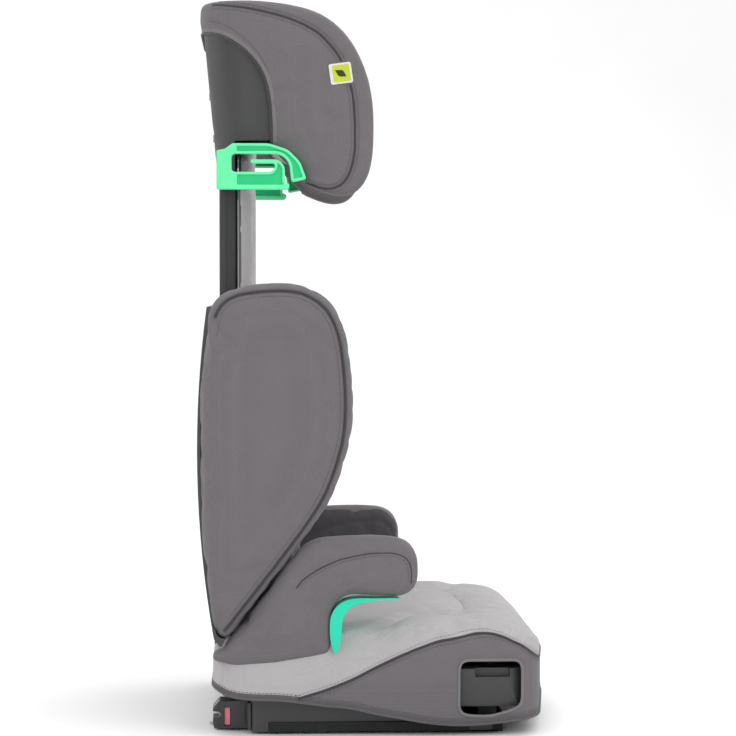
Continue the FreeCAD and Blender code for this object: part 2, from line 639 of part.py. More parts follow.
def headrest():
    """The headrest's shell, cushion and cover, and the mast that carries them."""
    half, back = size("head_half"), size("head_back")
    bare = pad("bare_rear", "YZ", rounded(BARE_OUTLINE), "-250", "500")
    handle_way = block("handle_room", ("-44", "160", "762"), ("44", "230", "808"))

    shell_side = headrest_side("shell_side", 8)
    tabs = pad("shell_tabs", "YZ", rectangle(164, 628, 189, 690, 4), "-250", "500")
    shell = headrest_band("shell", (half, back, 55), (half - 4, back - 4, 51))
    shell = overlap("shell_shape", shell, join("shell_sides", shell_side, tabs))
    way = block("mast_way", ("-(Dims.mast_half + 1)", "150", "600"), ("Dims.mast_half + 1", "230", "673.9"))
    shell = cut("headrest_shell_cut", shell, handle_way, way)

    mast = pad("mast_body", "XY", rounded([
        (-52, size("mast_front"), 3), (52, size("mast_front"), 3), (52, size("mast_rear"), 2),
        (-52, size("mast_rear"), 2),
    ]), "Dims.mast_low", "Dims.mast_high - Dims.mast_low")
    channel = rectangle(-40, size("mast_front") + 6, 40, size("mast_rear") + 10)
    pocket(mast, "XY", channel, "Dims.mast_high + 1", "Dims.mast_high - Dims.mast_low + 2")
    grooves = [block(f"mast_groove_{i}", (f"{x}", "Dims.mast_front + 8", "Dims.mast_low - 1"),
                     (f"{x + 3}", "Dims.mast_rear - 8", "670")) for i, x in enumerate((-54, 51))]
    ribs = []
    for i, z in enumerate(range(430, 680, 48)):
        low, high = ("-41", "Dims.mast_front + 5", f"{z}"), ("-14", "Dims.mast_rear - 3", f"{z + 3}")
        ribs.append(block(f"mast_rib_{i}", low, high))
    ribs += [mirrored(f"mast_rib_left_{i}", rib) for i, rib in enumerate(ribs)]
    keep("headrest_mast", join("mast_join", cut("mast_grooved", mast, *grooves), *ribs))

    screws = []
    for i, (x, z) in enumerate(((-46, 690), (46, 690), (-46, 740), (46, 740))):
        lean = size("head_back") + size("head_tilt") * (z - size("head_low"))
        head = rod(f"mast_head_{i}", "Y", (f"{x}", f"{lean - 1.5}", f"{z}"), "4.5", "3")
        shank = rod(f"mast_shank_{i}", "Y", (f"{x}", "170", f"{z}"), "2", f"{lean - 170}")
        screws.append(join(f"mast_screw_{i}", head, shank))
    keep("headrest_screws", join("headrest_screws_group", *screws))
    keep("headrest_shell", cut("headrest_shell_screwed", shell, nodes["headrest_screws"]))
    nodes["headrest_mast"].Label = "mast_before_screws"
    keep("headrest_mast", cut("headrest_mast_cut", nodes["headrest_mast"], nodes["headrest_screws"]))

    rod_way = block("rod_room", ("-6", "165", "740"), ("6", "181", "790"))
    mast_room = block("mast_room", ("-(Dims.mast_half + 0.3)", "Dims.mast_front - 0.3", "600"),
                      ("Dims.mast_half + 0.3", "215", "Dims.mast_high + 0.5"))
    cushion = headrest_band("pad", (half - 4.3, back - 4.3, 50.7), (size("head_inner"), back - 44, 34))
    cushion = overlap("pad_shape", cushion, headrest_side("pad_side", 0))
    keep("headrest_cushion", cut("headrest_cushion_cut", cushion, handle_way, rod_way, mast_room))
    cover = headrest_band("cover", (half + 4.5, back + 4.5, 59), (half + 0.3, back + 0.3, 55.3))
    cover = overlap("cover_shape", cover, headrest_side("cover_side", 0))
    keep("headrest_cover", cut("headrest_cover_cut", cover, bare))

    keep("mast_cover", pad("mast_pad", "XY", rectangle(
        -size("mast_pad_half"), 142, size("mast_pad_half"), 161.7, 8), "440", "233"))
    tag = document.addObject("Part::Box", "tag")
    tag.Length, tag.Width, tag.Height = 0.8, 26, 24
    tag.Placement = Placement(Vector(-154.6, 29, 748), Rotation(Vector(1, 0, 0), 8))
    tag.setExpression("Placement.Base.x", "-(Dims.head_half + 9.4)")
    keep("label_tag", tag)

    bar = pad("handle_bar", "XZ", rectangle(-40, 782, 40, 794, 4), "-198", "12")
    keep("height_handle", bar)
    handle_bar = rod("handle_rod_bar", "Z", ("0", "173", "412"), "2.5", "368")
    foot = block("handle_foot", ("-6", "170.5", "778"), ("6", "190", "781.8"))
    keep("handle_rod", join("handle_rod_join", handle_bar, foot))
    keep("height_latch", block("latch", ("-20", "175", "402"), ("20", "185.5", "408")))


def shoulder_guides():
    """The hooks at the headrest's lower corners that the shoulder belt runs through."""
    shell = leaning("shell_room", headrest_plan(size("head_half"), size("head_back"), 55), 560, 880)
    rear, low = size("guide_rear"), size("guide_low")
    corners = [(rear - forward, low + up, radius) for forward, up, radius in GUIDE_OUTLINE]
    outer_face = "-(Dims.guide_inner + Dims.guide_width)"
    hook = pad("guide", "YZ", rounded(corners), outer_face, "Dims.guide_width")
    lug = pad("guide_lug", "XY", rounded([
        (-size("guide_inner") - 2, 184, 3), (-118, 184, 3), (-118, 168, 3),
        (-size("guide_inner") - 2, 168, 3),
    ]), "Dims.guide_low + 5", "36")
    keep_both("shoulder_belt_guide", cut("shoulder_belt_guide_cut", join("guide_join", hook, lug), shell))


# ---------------------------------------------------------------- assembly


def check_and_export():
    """Stops if any feature failed, then writes one file for each sub-part."""
    document.recompute()
    for item in document.Objects:
        if {"Invalid", "Error"} & set(item.State):
            raise ValueError(f"{item.Name} ({item.Label}) failed: {item.State}")
    for name, piece in nodes.items():
        shape = piece.Shape
        if shape.isNull() or not shape.isValid() or not shape.Solids:
            raise ValueError(f"{name} has no valid solid")
    os.makedirs("parts", exist_ok=True)
    for name, piece in nodes.items():
        piece.Shape.exportStep(os.path.join("parts", name + ".step"))
        box = piece.Shape.BoundBox
        print(f"{name:24s} solids {len(piece.Shape.Solids)}  volume {piece.Shape.Volume / 1000:9.1f} cm3  "
              f"y {box.YMin:7.1f} {box.YMax:7.1f}  z {box.ZMin:7.1f} {box.ZMax:7.1f}")
    print(len(nodes), "sub-parts")


def main():
    pan_solid, cover_outer = seat()
    tray()
    hinge_and_brackets(pan_solid)
    armrests(pan_solid, cover_outer)
    cup_holders()
    connectors()
    backrest()
    headrest()
    shoulder_guides()
    check_and_export()


main()
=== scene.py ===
"""How the booster seat looks: covers, padding, piping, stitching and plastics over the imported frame."""

import math

import bmesh
import bpy
import numpy as np
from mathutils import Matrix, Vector
from mathutils.bvhtree import BVHTree


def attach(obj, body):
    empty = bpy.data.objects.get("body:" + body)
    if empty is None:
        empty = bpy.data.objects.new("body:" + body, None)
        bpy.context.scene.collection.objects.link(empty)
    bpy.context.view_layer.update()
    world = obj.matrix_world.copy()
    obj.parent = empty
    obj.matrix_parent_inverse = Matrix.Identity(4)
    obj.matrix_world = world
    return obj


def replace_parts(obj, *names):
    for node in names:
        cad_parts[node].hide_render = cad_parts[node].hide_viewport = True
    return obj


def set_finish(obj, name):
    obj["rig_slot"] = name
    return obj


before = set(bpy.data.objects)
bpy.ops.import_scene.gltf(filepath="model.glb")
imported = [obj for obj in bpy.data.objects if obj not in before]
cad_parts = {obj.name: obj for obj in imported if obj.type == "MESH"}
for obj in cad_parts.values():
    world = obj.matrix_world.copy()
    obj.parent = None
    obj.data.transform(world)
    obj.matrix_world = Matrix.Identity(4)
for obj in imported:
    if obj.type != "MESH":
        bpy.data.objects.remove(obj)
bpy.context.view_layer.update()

# Shapes are worked out in millimetres, in the row frame, for the right side (X below 0). The left
# side's pieces are mirror images. Outlines are Y, Z and corner radius.
WING = [
    (181.5, 101, 10), (204, 208, 250), (206.5, 400, 250), (197, 470, 30), (193.5, 486, 0), (183, 502.5, 0),
    (162.5, 513.5, 0), (131, 517, 0), (106, 518, 0), (85.5, 515, 0), (68.5, 507, 0), (52, 493.5, 0), (41, 472.5, 0),
    (34.5, 449, 0), (30, 407, 0), (29, 374, 0), (31, 344.5, 0), (35, 325.5, 0), (44.5, 294.5, 0),
    (57, 265, 0), (89, 219, 0),
]
ARMREST = [
    (54.5, 95, 10), (54.5, 160.5, 28), (-44.5, 160.5, 24), (-44.5, 228, 30), (80, 226.5, 42),
    (177.5, 102.2, 6), (190.5, 97, 5), (190.5, 88, 7), (160, 81, 40), (115, 84, 60),
]
HEADREST = [
    (240, 674, 0), (240, 844, 0), (147, 844.5, 0), (110, 841.5, 0), (75, 834, 0), (52, 822, 0), (34, 805, 0),
    (20, 783, 0), (8.5, 754, 0), (3.5, 725, 0), (2.5, 696, 0), (3.5, 667, 0), (8, 643, 0), (18, 626.5, 0),
    (29, 619.5, 0), (41, 617.5, 0), (57, 620.5, 0), (78, 629, 10), (122, 674, 16),
]
BARE = [
    (240, 650, 0), (240, 812, 0), (200, 809, 0), (177, 803.5, 0), (153, 787.5, 0), (137, 770, 0), (127.5, 751, 0),
    (122.8, 727, 0), (121, 690, 0), (120.5, 650, 0),
]
GUIDE = [
    (0, 0, 2), (0, 45, 2), (9.8, 46.6, 3), (18.5, 53, 4), (60, 53, 30), (82, 46, 22), (96, 32, 22), (103.5, 12, 2),
    (86, 8.5, 3), (82.5, 41, 18), (17.4, 40.8, 4), (17.4, 20.3, 4), (67, 20.3, 7), (67, 30, 2.5),
    (39.3, 30, 2), (39.3, 34.6, 2), (78.6, 34.6, 13), (78.6, 9, 2), (84, 6, 2), (83, 0, 4),
]
SEAT_SIDE = [
    (190, 96, 8), (60, 112, 60), (-60, 127, 150), (-125, 126.5, 60), (-207, 120, 70), (-207, 6, 26), (-120, -8, 60),
    (-30, -6, 60), (20, 14, 60), (165, 22, 25), (190, 30, 12),
]
SEAT_PLAN = [
    (-215, 190, 40), (215, 190, 40), (215, -182, 45), (10, -207, 150), (-10, -207, 150), (-215, -182, 45),
]
SEAT_FRONT = [(-215, 127, 38), (215, 127, 38), (215, 60, 60), (203, -20, 8), (-203, -20, 8), (-215, 60, 60)]


# ---------------------------------------------------------------- outlines and fields


def rounded(corners, step=7.0):
    """A closed outline through corners (a, b, radius), as points."""
    points = []
    for i, (a, b, radius) in enumerate(corners):
        at = np.array((a, b), float)
        if not radius:
            points.append(at)
            continue
        before = np.array(corners[i - 1][:2], float) - at
        after = np.array(corners[(i + 1) % len(corners)][:2], float) - at
        u, v = before / np.linalg.norm(before), after / np.linalg.norm(after)
        half = math.acos(max(-1.0, min(1.0, float(u @ v)))) / 2
        middle = at + (u + v) / np.linalg.norm(u + v) * radius / math.sin(half)
        start, end = at + u * radius / math.tan(half) - middle, at + v * radius / math.tan(half) - middle
        first = math.atan2(start[1], start[0])
        sweep = (math.atan2(end[1], end[0]) - first + math.pi) % (2 * math.pi) - math.pi
        for t in np.linspace(0, 1, max(3, int(abs(math.degrees(sweep)) / step) + 2)):
            angle = first + sweep * t
            points.append(middle + radius * np.array((math.cos(angle), math.sin(angle))))
    return np.array(points)


def cut_corners(points, rounds):
    """A closed outline with its corners cut, round after round."""
    for _ in range(rounds):
        after = np.roll(points, -1, 0)
        points = np.stack([0.75 * points + 0.25 * after, 0.25 * points + 0.75 * after], 1).reshape(-1, 2)
    return points


class Outline:
    """Signed distance to a closed outline, negative inside, read off a grid."""

    def __init__(self, corners, margin=40.0, step=2.0, soften=0):
        self.points = cut_corners(rounded(corners), soften)
        self.low = self.points.min(0) - margin
        self.step = step
        count = ((self.points.max(0) + margin - self.low) / step).astype(int) + 2
        a, b = np.meshgrid(*(self.low[i] + step * np.arange(count[i]) for i in (0, 1)), indexing="ij")
        near = np.full(a.shape, 1e9)
        inside = np.zeros(a.shape, bool)
        for p, q in zip(self.points, np.roll(self.points, -1, 0)):
            d = q - p
            if not d.any():
                continue
            t = np.clip(((a - p[0]) * d[0] + (b - p[1]) * d[1]) / (d @ d), 0, 1)
            near = np.minimum(near, (a - p[0] - t * d[0]) ** 2 + (b - p[1] - t * d[1]) ** 2)
            if d[1]:
                inside ^= ((p[1] > b) != (q[1] > b)) & (a < d[0] * (b - p[1]) / d[1] + p[0])
        self.grid = np.sqrt(near) * np.where(inside, -1, 1)

    def __call__(self, a, b):
        i = np.clip((a - self.low[0]) / self.step, 0, self.grid.shape[0] - 1.001)
        j = np.clip((b - self.low[1]) / self.step, 0, self.grid.shape[1] - 1.001)
        i0, j0 = i.astype(int), j.astype(int)
        s, t = i - i0, j - j0
        g = self.grid
        return ((g[i0, j0] * (1 - s) + g[i0 + 1, j0] * s) * (1 - t)
                + (g[i0, j0 + 1] * (1 - s) + g[i0 + 1, j0 + 1] * s) * t)

    def inset(self, depth):
        """The outline drawn in by depth, evenly spaced, with its order kept."""
        points = even(np.vstack([self.points, self.points[:1]]), 3.0)[:-1]
        along = np.roll(points, -1, 0) - np.roll(points, 1, 0)
        normal = np.stack([along[:, 1], -along[:, 0]], 1) / np.linalg.norm(along, axis=1)[:, None]
        if self(*(points[0] + normal[0] * 2)) > 0:
            normal = -normal
        moved = points + normal * depth
        return moved[np.abs(self(moved[:, 0], moved[:, 1]) + depth) < 0.6]


def even(points, gap):
    """Points at equal steps along a line of points."""
    points = np.asarray(points, float)
    reach = np.concatenate([[0], np.cumsum(np.linalg.norm(np.diff(points, axis=0), axis=1))])
    places = np.linspace(0, reach[-1], max(3, int(reach[-1] / gap) + 1))
    return np.stack([np.interp(places, reach, points[:, k]) for k in range(points.shape[1])], 1)


def smooth_line(points, gap=3.0, rounds=12):
    """A soft curve near a few points, ends kept."""
    line = even(points, gap)
    for _ in range(rounds):
        line[1:-1] = (line[:-2] + 2 * line[1:-1] + line[2:]) / 4
    return line


def both(a, b, radius):
    """What lies in both fields, with the edge between them rounded."""
    p, q = a + radius, b + radius
    return np.hypot(np.maximum(p, 0), np.maximum(q, 0)) + np.minimum(np.maximum(p, q), 0) - radius


def ease(value, low, high):
    t = np.clip((value - low) / (high - low), 0, 1)
    return t * t * (3 - 2 * t)


def crown(d, height, reach):
    """How far a padded face swells at d inside its outline."""
    return height * (1 - np.exp(np.minimum(d, 0) / reach))


def at_x(x, line):
    """A line of Y and Z, placed at one X."""
    return np.column_stack([np.full(len(line), float(x)), line])


def beside(line, shift):
    """A flat line moved sideways."""
    along = np.gradient(line, axis=0)
    normal = np.stack([along[:, 1], -along[:, 0]], 1)
    normal /= np.linalg.norm(normal, axis=1)[:, None]
    return line + normal * shift


def prism_faces(count):
    """The faces between two rings of count corners, and the two ends."""
    sides = [(j, (j + 1) % count, count + (j + 1) % count, count + j) for j in range(count)]
    return sides + [list(range(count))[::-1], list(range(count, 2 * count))]


def surface(field, low, high, step):
    """Vertices and quads of the closed surface where field is zero."""
    axes = [np.arange(a, b + step, step) for a, b in zip(low, high)]
    x, y, z = np.meshgrid(*axes, indexing="ij")
    value = field(x, y, z)
    sign = value < 0
    cells = tuple(n - 1 for n in value.shape)
    corner = {}
    for c in np.ndindex(2, 2, 2):
        corner[c] = tuple(slice(c[k], c[k] + cells[k]) for k in range(3))
    total = sum(sign[corner[c]].astype(int) for c in corner)
    active = (total > 0) & (total < 8)
    number = np.full(cells, -1)
    number[active] = np.arange(active.sum())
    place, crossings = np.zeros((active.sum(), 3)), np.zeros(active.sum())
    for c in corner:
        for k in range(3):
            if c[k]:
                continue
            d = tuple(1 if m == k else c[m] for m in range(3))
            f, g = value[corner[c]][active], value[corner[d]][active]
            cut = (f < 0) != (g < 0)
            t = np.where(cut, f / np.where(cut, f - g, 1), 0)
            point = np.array(c, float)[None, :].repeat(len(f), 0)
            point[:, k] += t
            place[cut] += point[cut]
            crossings[cut] += 1
    base = np.stack(np.nonzero(active), 1)
    vertices = np.array(low) + step * (base + place / crossings[:, None])
    faces = []
    for k in range(3):
        u, v = (k + 1) % 3, (k + 2) % 3
        here = [slice(0, n) for n in value.shape]
        there = list(here)
        here[k], there[k] = slice(0, -1), slice(1, None)
        change = sign[tuple(here)] != sign[tuple(there)]
        at = np.stack(np.nonzero(change), 1)
        at = at[(at[:, u] > 0) & (at[:, v] > 0) & (at[:, u] < cells[u]) & (at[:, v] < cells[v])]
        ring = []
        for du, dv in ((-1, -1), (0, -1), (0, 0), (-1, 0)):
            spot = at.copy()
            spot[:, u] += du
            spot[:, v] += dv
            ring.append(number[tuple(spot.T)])
        quads = np.stack(ring, 1)
        outward = sign[tuple(here)][tuple(at.T)]
        quads[~outward] = quads[~outward][:, ::-1]
        faces.append(quads)
    for _ in range(4):
        f = field(*vertices.T)
        slope = np.stack([(field(*(vertices + e).T) - field(*(vertices - e).T)) / 1.0
                          for e in 0.5 * np.eye(3)], 1)
        size = np.maximum((slope ** 2).sum(1), 0.05)
        move = -(f / size)[:, None] * slope
        length = np.linalg.norm(move, axis=1)
        vertices += move * np.minimum(1, 0.4 * step / np.maximum(length, 1e-9))[:, None]
    return vertices, np.vstack(faces)


# ---------------------------------------------------------------- materials


def linear(red, green, blue):
    """A colour from its display values, 0 to 255."""
    values = [c / 255 for c in (red, green, blue)]
    return [c / 12.92 if c <= 0.04045 else ((c + 0.055) / 1.055) ** 2.4 for c in values] + [1.0]


class Finish:
    """A material under construction."""

    def __init__(self, name, roughness, **sockets):
        self.material = bpy.data.materials.new(name)
        self.material.use_nodes = True
        self.nodes, self.links = self.material.node_tree.nodes, self.material.node_tree.links
        self.shader = self.nodes["Principled BSDF"]
        self.shader.inputs["Roughness"].default_value = roughness
        for socket, value in sockets.items():
            self.shader.inputs[socket.replace("_", " ")].default_value = value
        self.place = self.nodes.new("ShaderNodeTexCoord").outputs["Object"]

    def math(self, operation, a, b=0.0, c=0.0):
        node = self.nodes.new("ShaderNodeMath")
        node.operation = operation
        for socket, value in zip(node.inputs, (a, b, c)):
            if isinstance(value, (int, float)):
                socket.default_value = value
            else:
                self.links.new(value, socket)
        return node.outputs[0]

    def stretch(self, scale):
        node = self.nodes.new("ShaderNodeMapping")
        node.inputs["Scale"].default_value = scale
        self.links.new(self.place, node.inputs["Vector"])
        return node.outputs[0]

    def noise(self, scale, detail=3.0, roughness=0.6, vector=None):
        node = self.nodes.new("ShaderNodeTexNoise")
        node.inputs["Scale"].default_value = scale
        node.inputs["Detail"].default_value = detail
        node.inputs["Roughness"].default_value = roughness
        self.links.new(vector or self.place, node.inputs["Vector"])
        return node.outputs["Fac"]

    def cells(self, scale, vector=None):
        node = self.nodes.new("ShaderNodeTexVoronoi")
        node.inputs["Scale"].default_value = scale
        self.links.new(vector or self.place, node.inputs["Vector"])
        return node.outputs["Distance"]

    def weave(self, pitch, vector=None):
        """The height of threads that cross in all three planes, pitch in metres."""
        turns = self.nodes.new("ShaderNodeVectorMath")
        turns.operation = "SCALE"
        turns.inputs["Scale"].default_value = 2 * math.pi / pitch
        self.links.new(vector or self.place, turns.inputs[0])
        waves = self.nodes.new("ShaderNodeVectorMath")
        waves.operation = "SINE"
        self.links.new(turns.outputs[0], waves.inputs[0])
        parts = self.nodes.new("ShaderNodeSeparateXYZ")
        self.links.new(waves.outputs[0], parts.inputs[0])
        turned = self.nodes.new("ShaderNodeCombineXYZ")
        for i in range(3):
            self.links.new(parts.outputs[(i + 1) % 3], turned.inputs[i])
        product = self.nodes.new("ShaderNodeVectorMath")
        product.operation = "DOT_PRODUCT"
        self.links.new(waves.outputs[0], product.inputs[0])
        self.links.new(turned.outputs[0], product.inputs[1])
        return product.outputs["Value"]

    def mix(self, factor, low, high):
        """A colour between two, by factor."""
        node = self.nodes.new("ShaderNodeMix")
        node.data_type = "RGBA"
        self.links.new(factor, node.inputs["Factor"])
        for socket, value in zip((node.inputs[6], node.inputs[7]), (low, high)):
            if isinstance(value, list):
                socket.default_value = value
            else:
                self.links.new(value, socket)
        return node.outputs[2]

    def range(self, value, low, high, out_low=0.0, out_high=1.0):
        node = self.nodes.new("ShaderNodeMapRange")
        for socket, number in zip(list(node.inputs)[1:5], (low, high, out_low, out_high)):
            socket.default_value = number
        self.links.new(value, node.inputs[0])
        return node.outputs[0]

    def colour(self, output):
        self.links.new(output, self.shader.inputs["Base Color"])

    def gloss(self, output):
        self.links.new(output, self.shader.inputs["Roughness"])

    def bump(self, height, depth, strength=1.0):
        node = self.nodes.new("ShaderNodeBump")
        node.inputs["Distance"].default_value = depth
        node.inputs["Strength"].default_value = strength
        self.links.new(height, node.inputs["Height"])
        self.links.new(node.outputs[0], self.shader.inputs["Normal"])


def shade(rgb, factor):
    return [c * factor for c in linear(*rgb)[:3]] + [1.0]


def fabric(name, rgb, pitch=0.0013, melange=0.16, sheen=0.12):
    """Woven polyester: threads, melange, a faint cloudiness and rubbed patches."""
    f = Finish(name, 0.92, Sheen_Weight=sheen, Sheen_Roughness=0.45, Specular_IOR_Level=0.25)
    threads = f.range(f.weave(pitch), -1.5, 1.5)
    flecks = f.noise(1500, 2.0, 0.7)
    speck = f.range(flecks, 0.3, 0.7)
    base = f.mix(speck, shade(rgb, 1 - melange), shade(rgb, 1 + melange))
    deep = f.mix(f.range(threads, 0.0, 0.6), shade(rgb, 0.72), base)
    rubbed = f.range(f.noise(14, 4.0, 0.65), 0.42, 0.72, 0.0, 0.16)
    f.colour(f.mix(rubbed, deep, shade(rgb, 1.25)))
    f.gloss(f.range(f.noise(60, 2.0), 0.3, 0.7, 0.86, 0.96))
    f.bump(f.math("ADD", threads, f.math("MULTIPLY", flecks, 0.5)), 0.0003, 0.6)
    return f.material


def plastic(name, rgb, roughness=0.42, grain=1600, sheen=0.0):
    """Moulded plastic: a fine pebble grain, faint flow marks and scuffs."""
    f = Finish(name, roughness, Specular_IOR_Level=0.45)
    pebbles = f.cells(grain)
    flow = f.noise(9, 3.0, 0.55)
    scuffs = f.range(f.noise(120, 5.0, 0.75, f.stretch((1.0, 1.0, 0.25))), 0.62, 0.8, 0.0, 0.35)
    base = f.mix(f.range(flow, 0.3, 0.7), shade(rgb, 0.93), shade(rgb, 1.07))
    f.colour(f.mix(scuffs, base, shade(rgb, 1.3)))
    f.gloss(f.math("ADD", f.range(flow, 0.3, 0.7, roughness - 0.05, roughness + 0.06),
                   f.math("MULTIPLY", scuffs, 0.25)))
    f.bump(f.math("ADD", pebbles, f.math("MULTIPLY", f.noise(500, 2.0), 0.4)), 0.00012, 0.5)
    return f.material


def metal(name, rgb):
    """Zinc-plated steel with fine drawing lines and dull spots."""
    f = Finish(name, 0.32, Metallic=1.0)
    lines = f.noise(400, 3.0, 0.7, f.stretch((12.0, 1.0, 12.0)))
    dull = f.range(f.noise(40, 4.0, 0.7), 0.45, 0.7)
    f.colour(f.mix(dull, shade(rgb, 1.0), shade(rgb, 0.75)))
    f.gloss(f.math("ADD", f.math("MULTIPLY", lines, 0.2), f.range(dull, 0.0, 1.0, 0.16, 0.36)))
    f.bump(lines, 0.00005, 0.4)
    return f.material


def soft_rubber(name, rgb):
    """Matt rubber with a ribbed tread and dust."""
    f = Finish(name, 0.85, Specular_IOR_Level=0.3)
    ribs = f.nodes.new("ShaderNodeTexWave")
    ribs.inputs["Scale"].default_value = 60
    f.links.new(f.place, ribs.inputs["Vector"])
    dust = f.range(f.noise(90, 4.0, 0.7), 0.5, 0.75, 0.0, 0.5)
    f.colour(f.mix(dust, shade(rgb, 1.0), shade(rgb, 1.8)))
    f.bump(f.math("ADD", ribs.outputs["Fac"], f.math("MULTIPLY", f.noise(900), 0.2)), 0.0004, 0.8)
    return f.material


def foam_block(name, rgb):
    """Cut foam with open cells."""
    f = Finish(name, 0.95, Specular_IOR_Level=0.1)
    pores = f.cells(700)
    f.colour(f.mix(f.range(pores, 0.0, 0.6), shade(rgb, 0.6), shade(rgb, 1.05)))
    f.bump(pores, 0.0006, 0.8)
    return f.material


def thread(name, rgb):
    """Twisted sewing thread or cord."""
    f = Finish(name, 0.7, Sheen_Weight=0.2, Specular_IOR_Level=0.3)
    twist = f.weave(0.0009, f.stretch((1.0, 1.35, 1.7)))
    fuzz = f.noise(2200, 2.0, 0.7)
    f.colour(f.mix(f.range(twist, -1.2, 1.2), shade(rgb, 0.7), shade(rgb, 1.15)))
    f.bump(f.math("ADD", twist, fuzz), 0.0002, 0.6)
    return f.material


DARK, LIGHT = (109, 105, 108), (176, 173, 175)
dark_fabric = fabric("dark_fabric", DARK)
light_fabric = fabric("light_fabric", LIGHT, melange=0.12)
lining = fabric("lining", (74, 72, 75), pitch=0.002)
hem_tape = fabric("hem_tape", (96, 93, 96), pitch=0.0016)
pale_tape = fabric("pale_tape", (120, 117, 119), pitch=0.0016)
piping_cord = thread("piping_cord", (66, 61, 64))
pale_piping = thread("pale_piping", (128, 124, 127))
dark_thread = thread("dark_thread", (88, 84, 87))
light_thread = thread("light_thread", (150, 146, 149))
black_plastic = plastic("black_plastic", (58, 58, 59))
shell_plastic = plastic("shell_plastic", (74, 75, 75), 0.48)
head_plastic = plastic("head_plastic", (56, 56, 57), 0.5)
# One green plastic in two copies: the darker one below is painted shade, given to the shoulder guide's sunken web and
# its lug; the lighter one is the painted highlight of the guide's raised rim.
green_plastic = plastic("green_plastic", (18, 186, 118), 0.38, 2200)
lit_rim_plastic = plastic("lit_rim_plastic", (98, 228, 160), 0.3, 2600)
teal_plastic = plastic("teal_plastic", (20, 204, 164), 0.36, 2200)
red_plastic = plastic("red_plastic", (250, 146, 152), 0.35, 2400)
steel = metal("steel", (186, 188, 190))
rubber = soft_rubber("rubber", (40, 40, 41))
foam = foam_block("foam", (196, 196, 188))
tag_fabric = fabric("tag_fabric", (196, 206, 62), pitch=0.0008, melange=0.06)
tag_border = thread("tag_border", (236, 236, 230))
tag_mark = thread("tag_mark", (52, 60, 34))

FINISHES = {
    "black_plastic": black_plastic, "green_plastic": teal_plastic, "red_plastic": red_plastic,
    "steel": steel, "rubber": rubber, "foam": foam, "light_fabric": light_fabric,
    "dark_fabric": dark_fabric, "yellow_label": tag_fabric,
}
for node_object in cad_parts.values():
    for holder in node_object.material_slots:
        holder.material = FINISHES[holder.material.name.split(".")[0]]
for name, finish in (("headrest_shell", head_plastic), ("backrest_shell", shell_plastic)):
    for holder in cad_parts[name].material_slots:
        holder.material = finish


# ---------------------------------------------------------------- pieces


def piece(name, vertices, faces, material, body, slot_name, smooth=True):
    """A new object on a body, from vertices in millimetres."""
    mesh = bpy.data.meshes.new(name)
    mesh.from_pydata((np.asarray(vertices) / 1000).tolist(), [], [list(map(int, f)) for f in faces])
    mesh.polygons.foreach_set("use_smooth", [smooth] * len(mesh.polygons))
    mesh.materials.append(material)
    mesh.update()
    obj = bpy.data.objects.new(name, mesh)
    bpy.context.scene.collection.objects.link(obj)
    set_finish(obj, slot_name)
    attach(obj, body)
    return obj


def points_of(obj):
    flat = np.empty(len(obj.data.vertices) * 3)
    obj.data.vertices.foreach_get("co", flat)
    return flat.reshape(-1, 3) * 1000


def normals_of(obj):
    flat = np.empty(len(obj.data.vertices) * 3)
    obj.data.vertices.foreach_get("normal", flat)
    return flat.reshape(-1, 3)


def move_to(obj, points):
    obj.data.vertices.foreach_set("co", (points / 1000).ravel())
    obj.data.update()


def twin(obj, body):
    """The left side's mirror image of a right side's piece."""
    name = obj.name.replace("_right", "_left")
    mesh = obj.data.copy()
    mesh.name = name
    other = bpy.data.objects.new(name, mesh)
    bpy.context.scene.collection.objects.link(other)
    move_to(other, points_of(obj) * (-1, 1, 1))
    mesh.flip_normals()
    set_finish(other, obj["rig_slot"])
    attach(other, body)
    return other


def apply_modifiers(obj):
    """Turns an object's modifiers into its mesh."""
    graph = bpy.context.evaluated_depsgraph_get()
    mesh = bpy.data.meshes.new_from_object(obj.evaluated_get(graph))
    obj.modifiers.clear()
    old, obj.data = obj.data, mesh
    bpy.data.meshes.remove(old)
    mesh.name = obj.name
    mesh.polygons.foreach_set("use_smooth", [True] * len(mesh.polygons))


def subdivide(obj):
    obj.modifiers.new("Subdivision", "SUBSURF").levels = 1
    apply_modifiers(obj)


def distance_to(points, line):
    """Each point's distance to a line of points, all in millimetres."""
    best = np.full(len(points), 1e9)
    for spot in line:
        best = np.minimum(best, ((points - spot) ** 2).sum(1))
    return np.sqrt(best)


def inflate(obj, held, pressure=4.0, cap=6.0, slack=0.02):
    """Swells a piece as cloth under pressure from inside, and holds the vertices in held."""
    rest = points_of(obj)
    group = obj.vertex_groups.new(name="held")
    group.add([int(i) for i in np.nonzero(held)[0]], 1.0, "REPLACE")
    cloth = obj.modifiers.new("Cloth", "CLOTH")
    settings = cloth.settings
    settings.vertex_group_mass = "held"
    settings.quality = 5
    settings.mass = 0.3
    settings.tension_stiffness = settings.compression_stiffness = 12
    settings.bending_stiffness = 2.0
    settings.shrink_min = -slack
    settings.use_pressure = True
    settings.uniform_pressure_force = pressure
    settings.effector_weights.gravity = 0
    cloth.point_cache.frame_start, cloth.point_cache.frame_end = 1, 20
    scene = bpy.context.scene
    for number in range(1, 21):
        scene.frame_set(number)
    graph = bpy.context.evaluated_depsgraph_get()
    swollen = obj.evaluated_get(graph).to_mesh()
    flat = np.empty(len(swollen.vertices) * 3)
    swollen.vertices.foreach_get("co", flat)
    move = flat.reshape(-1, 3) * 1000 - rest
    obj.evaluated_get(graph).to_mesh_clear()
    obj.modifiers.clear()
    obj.vertex_groups.clear()
    scene.frame_set(1)
    length = np.linalg.norm(move, axis=1)
    move *= np.minimum(1, cap / np.maximum(length, 1e-9))[:, None]
    move_to(obj, rest + np.nan_to_num(move))


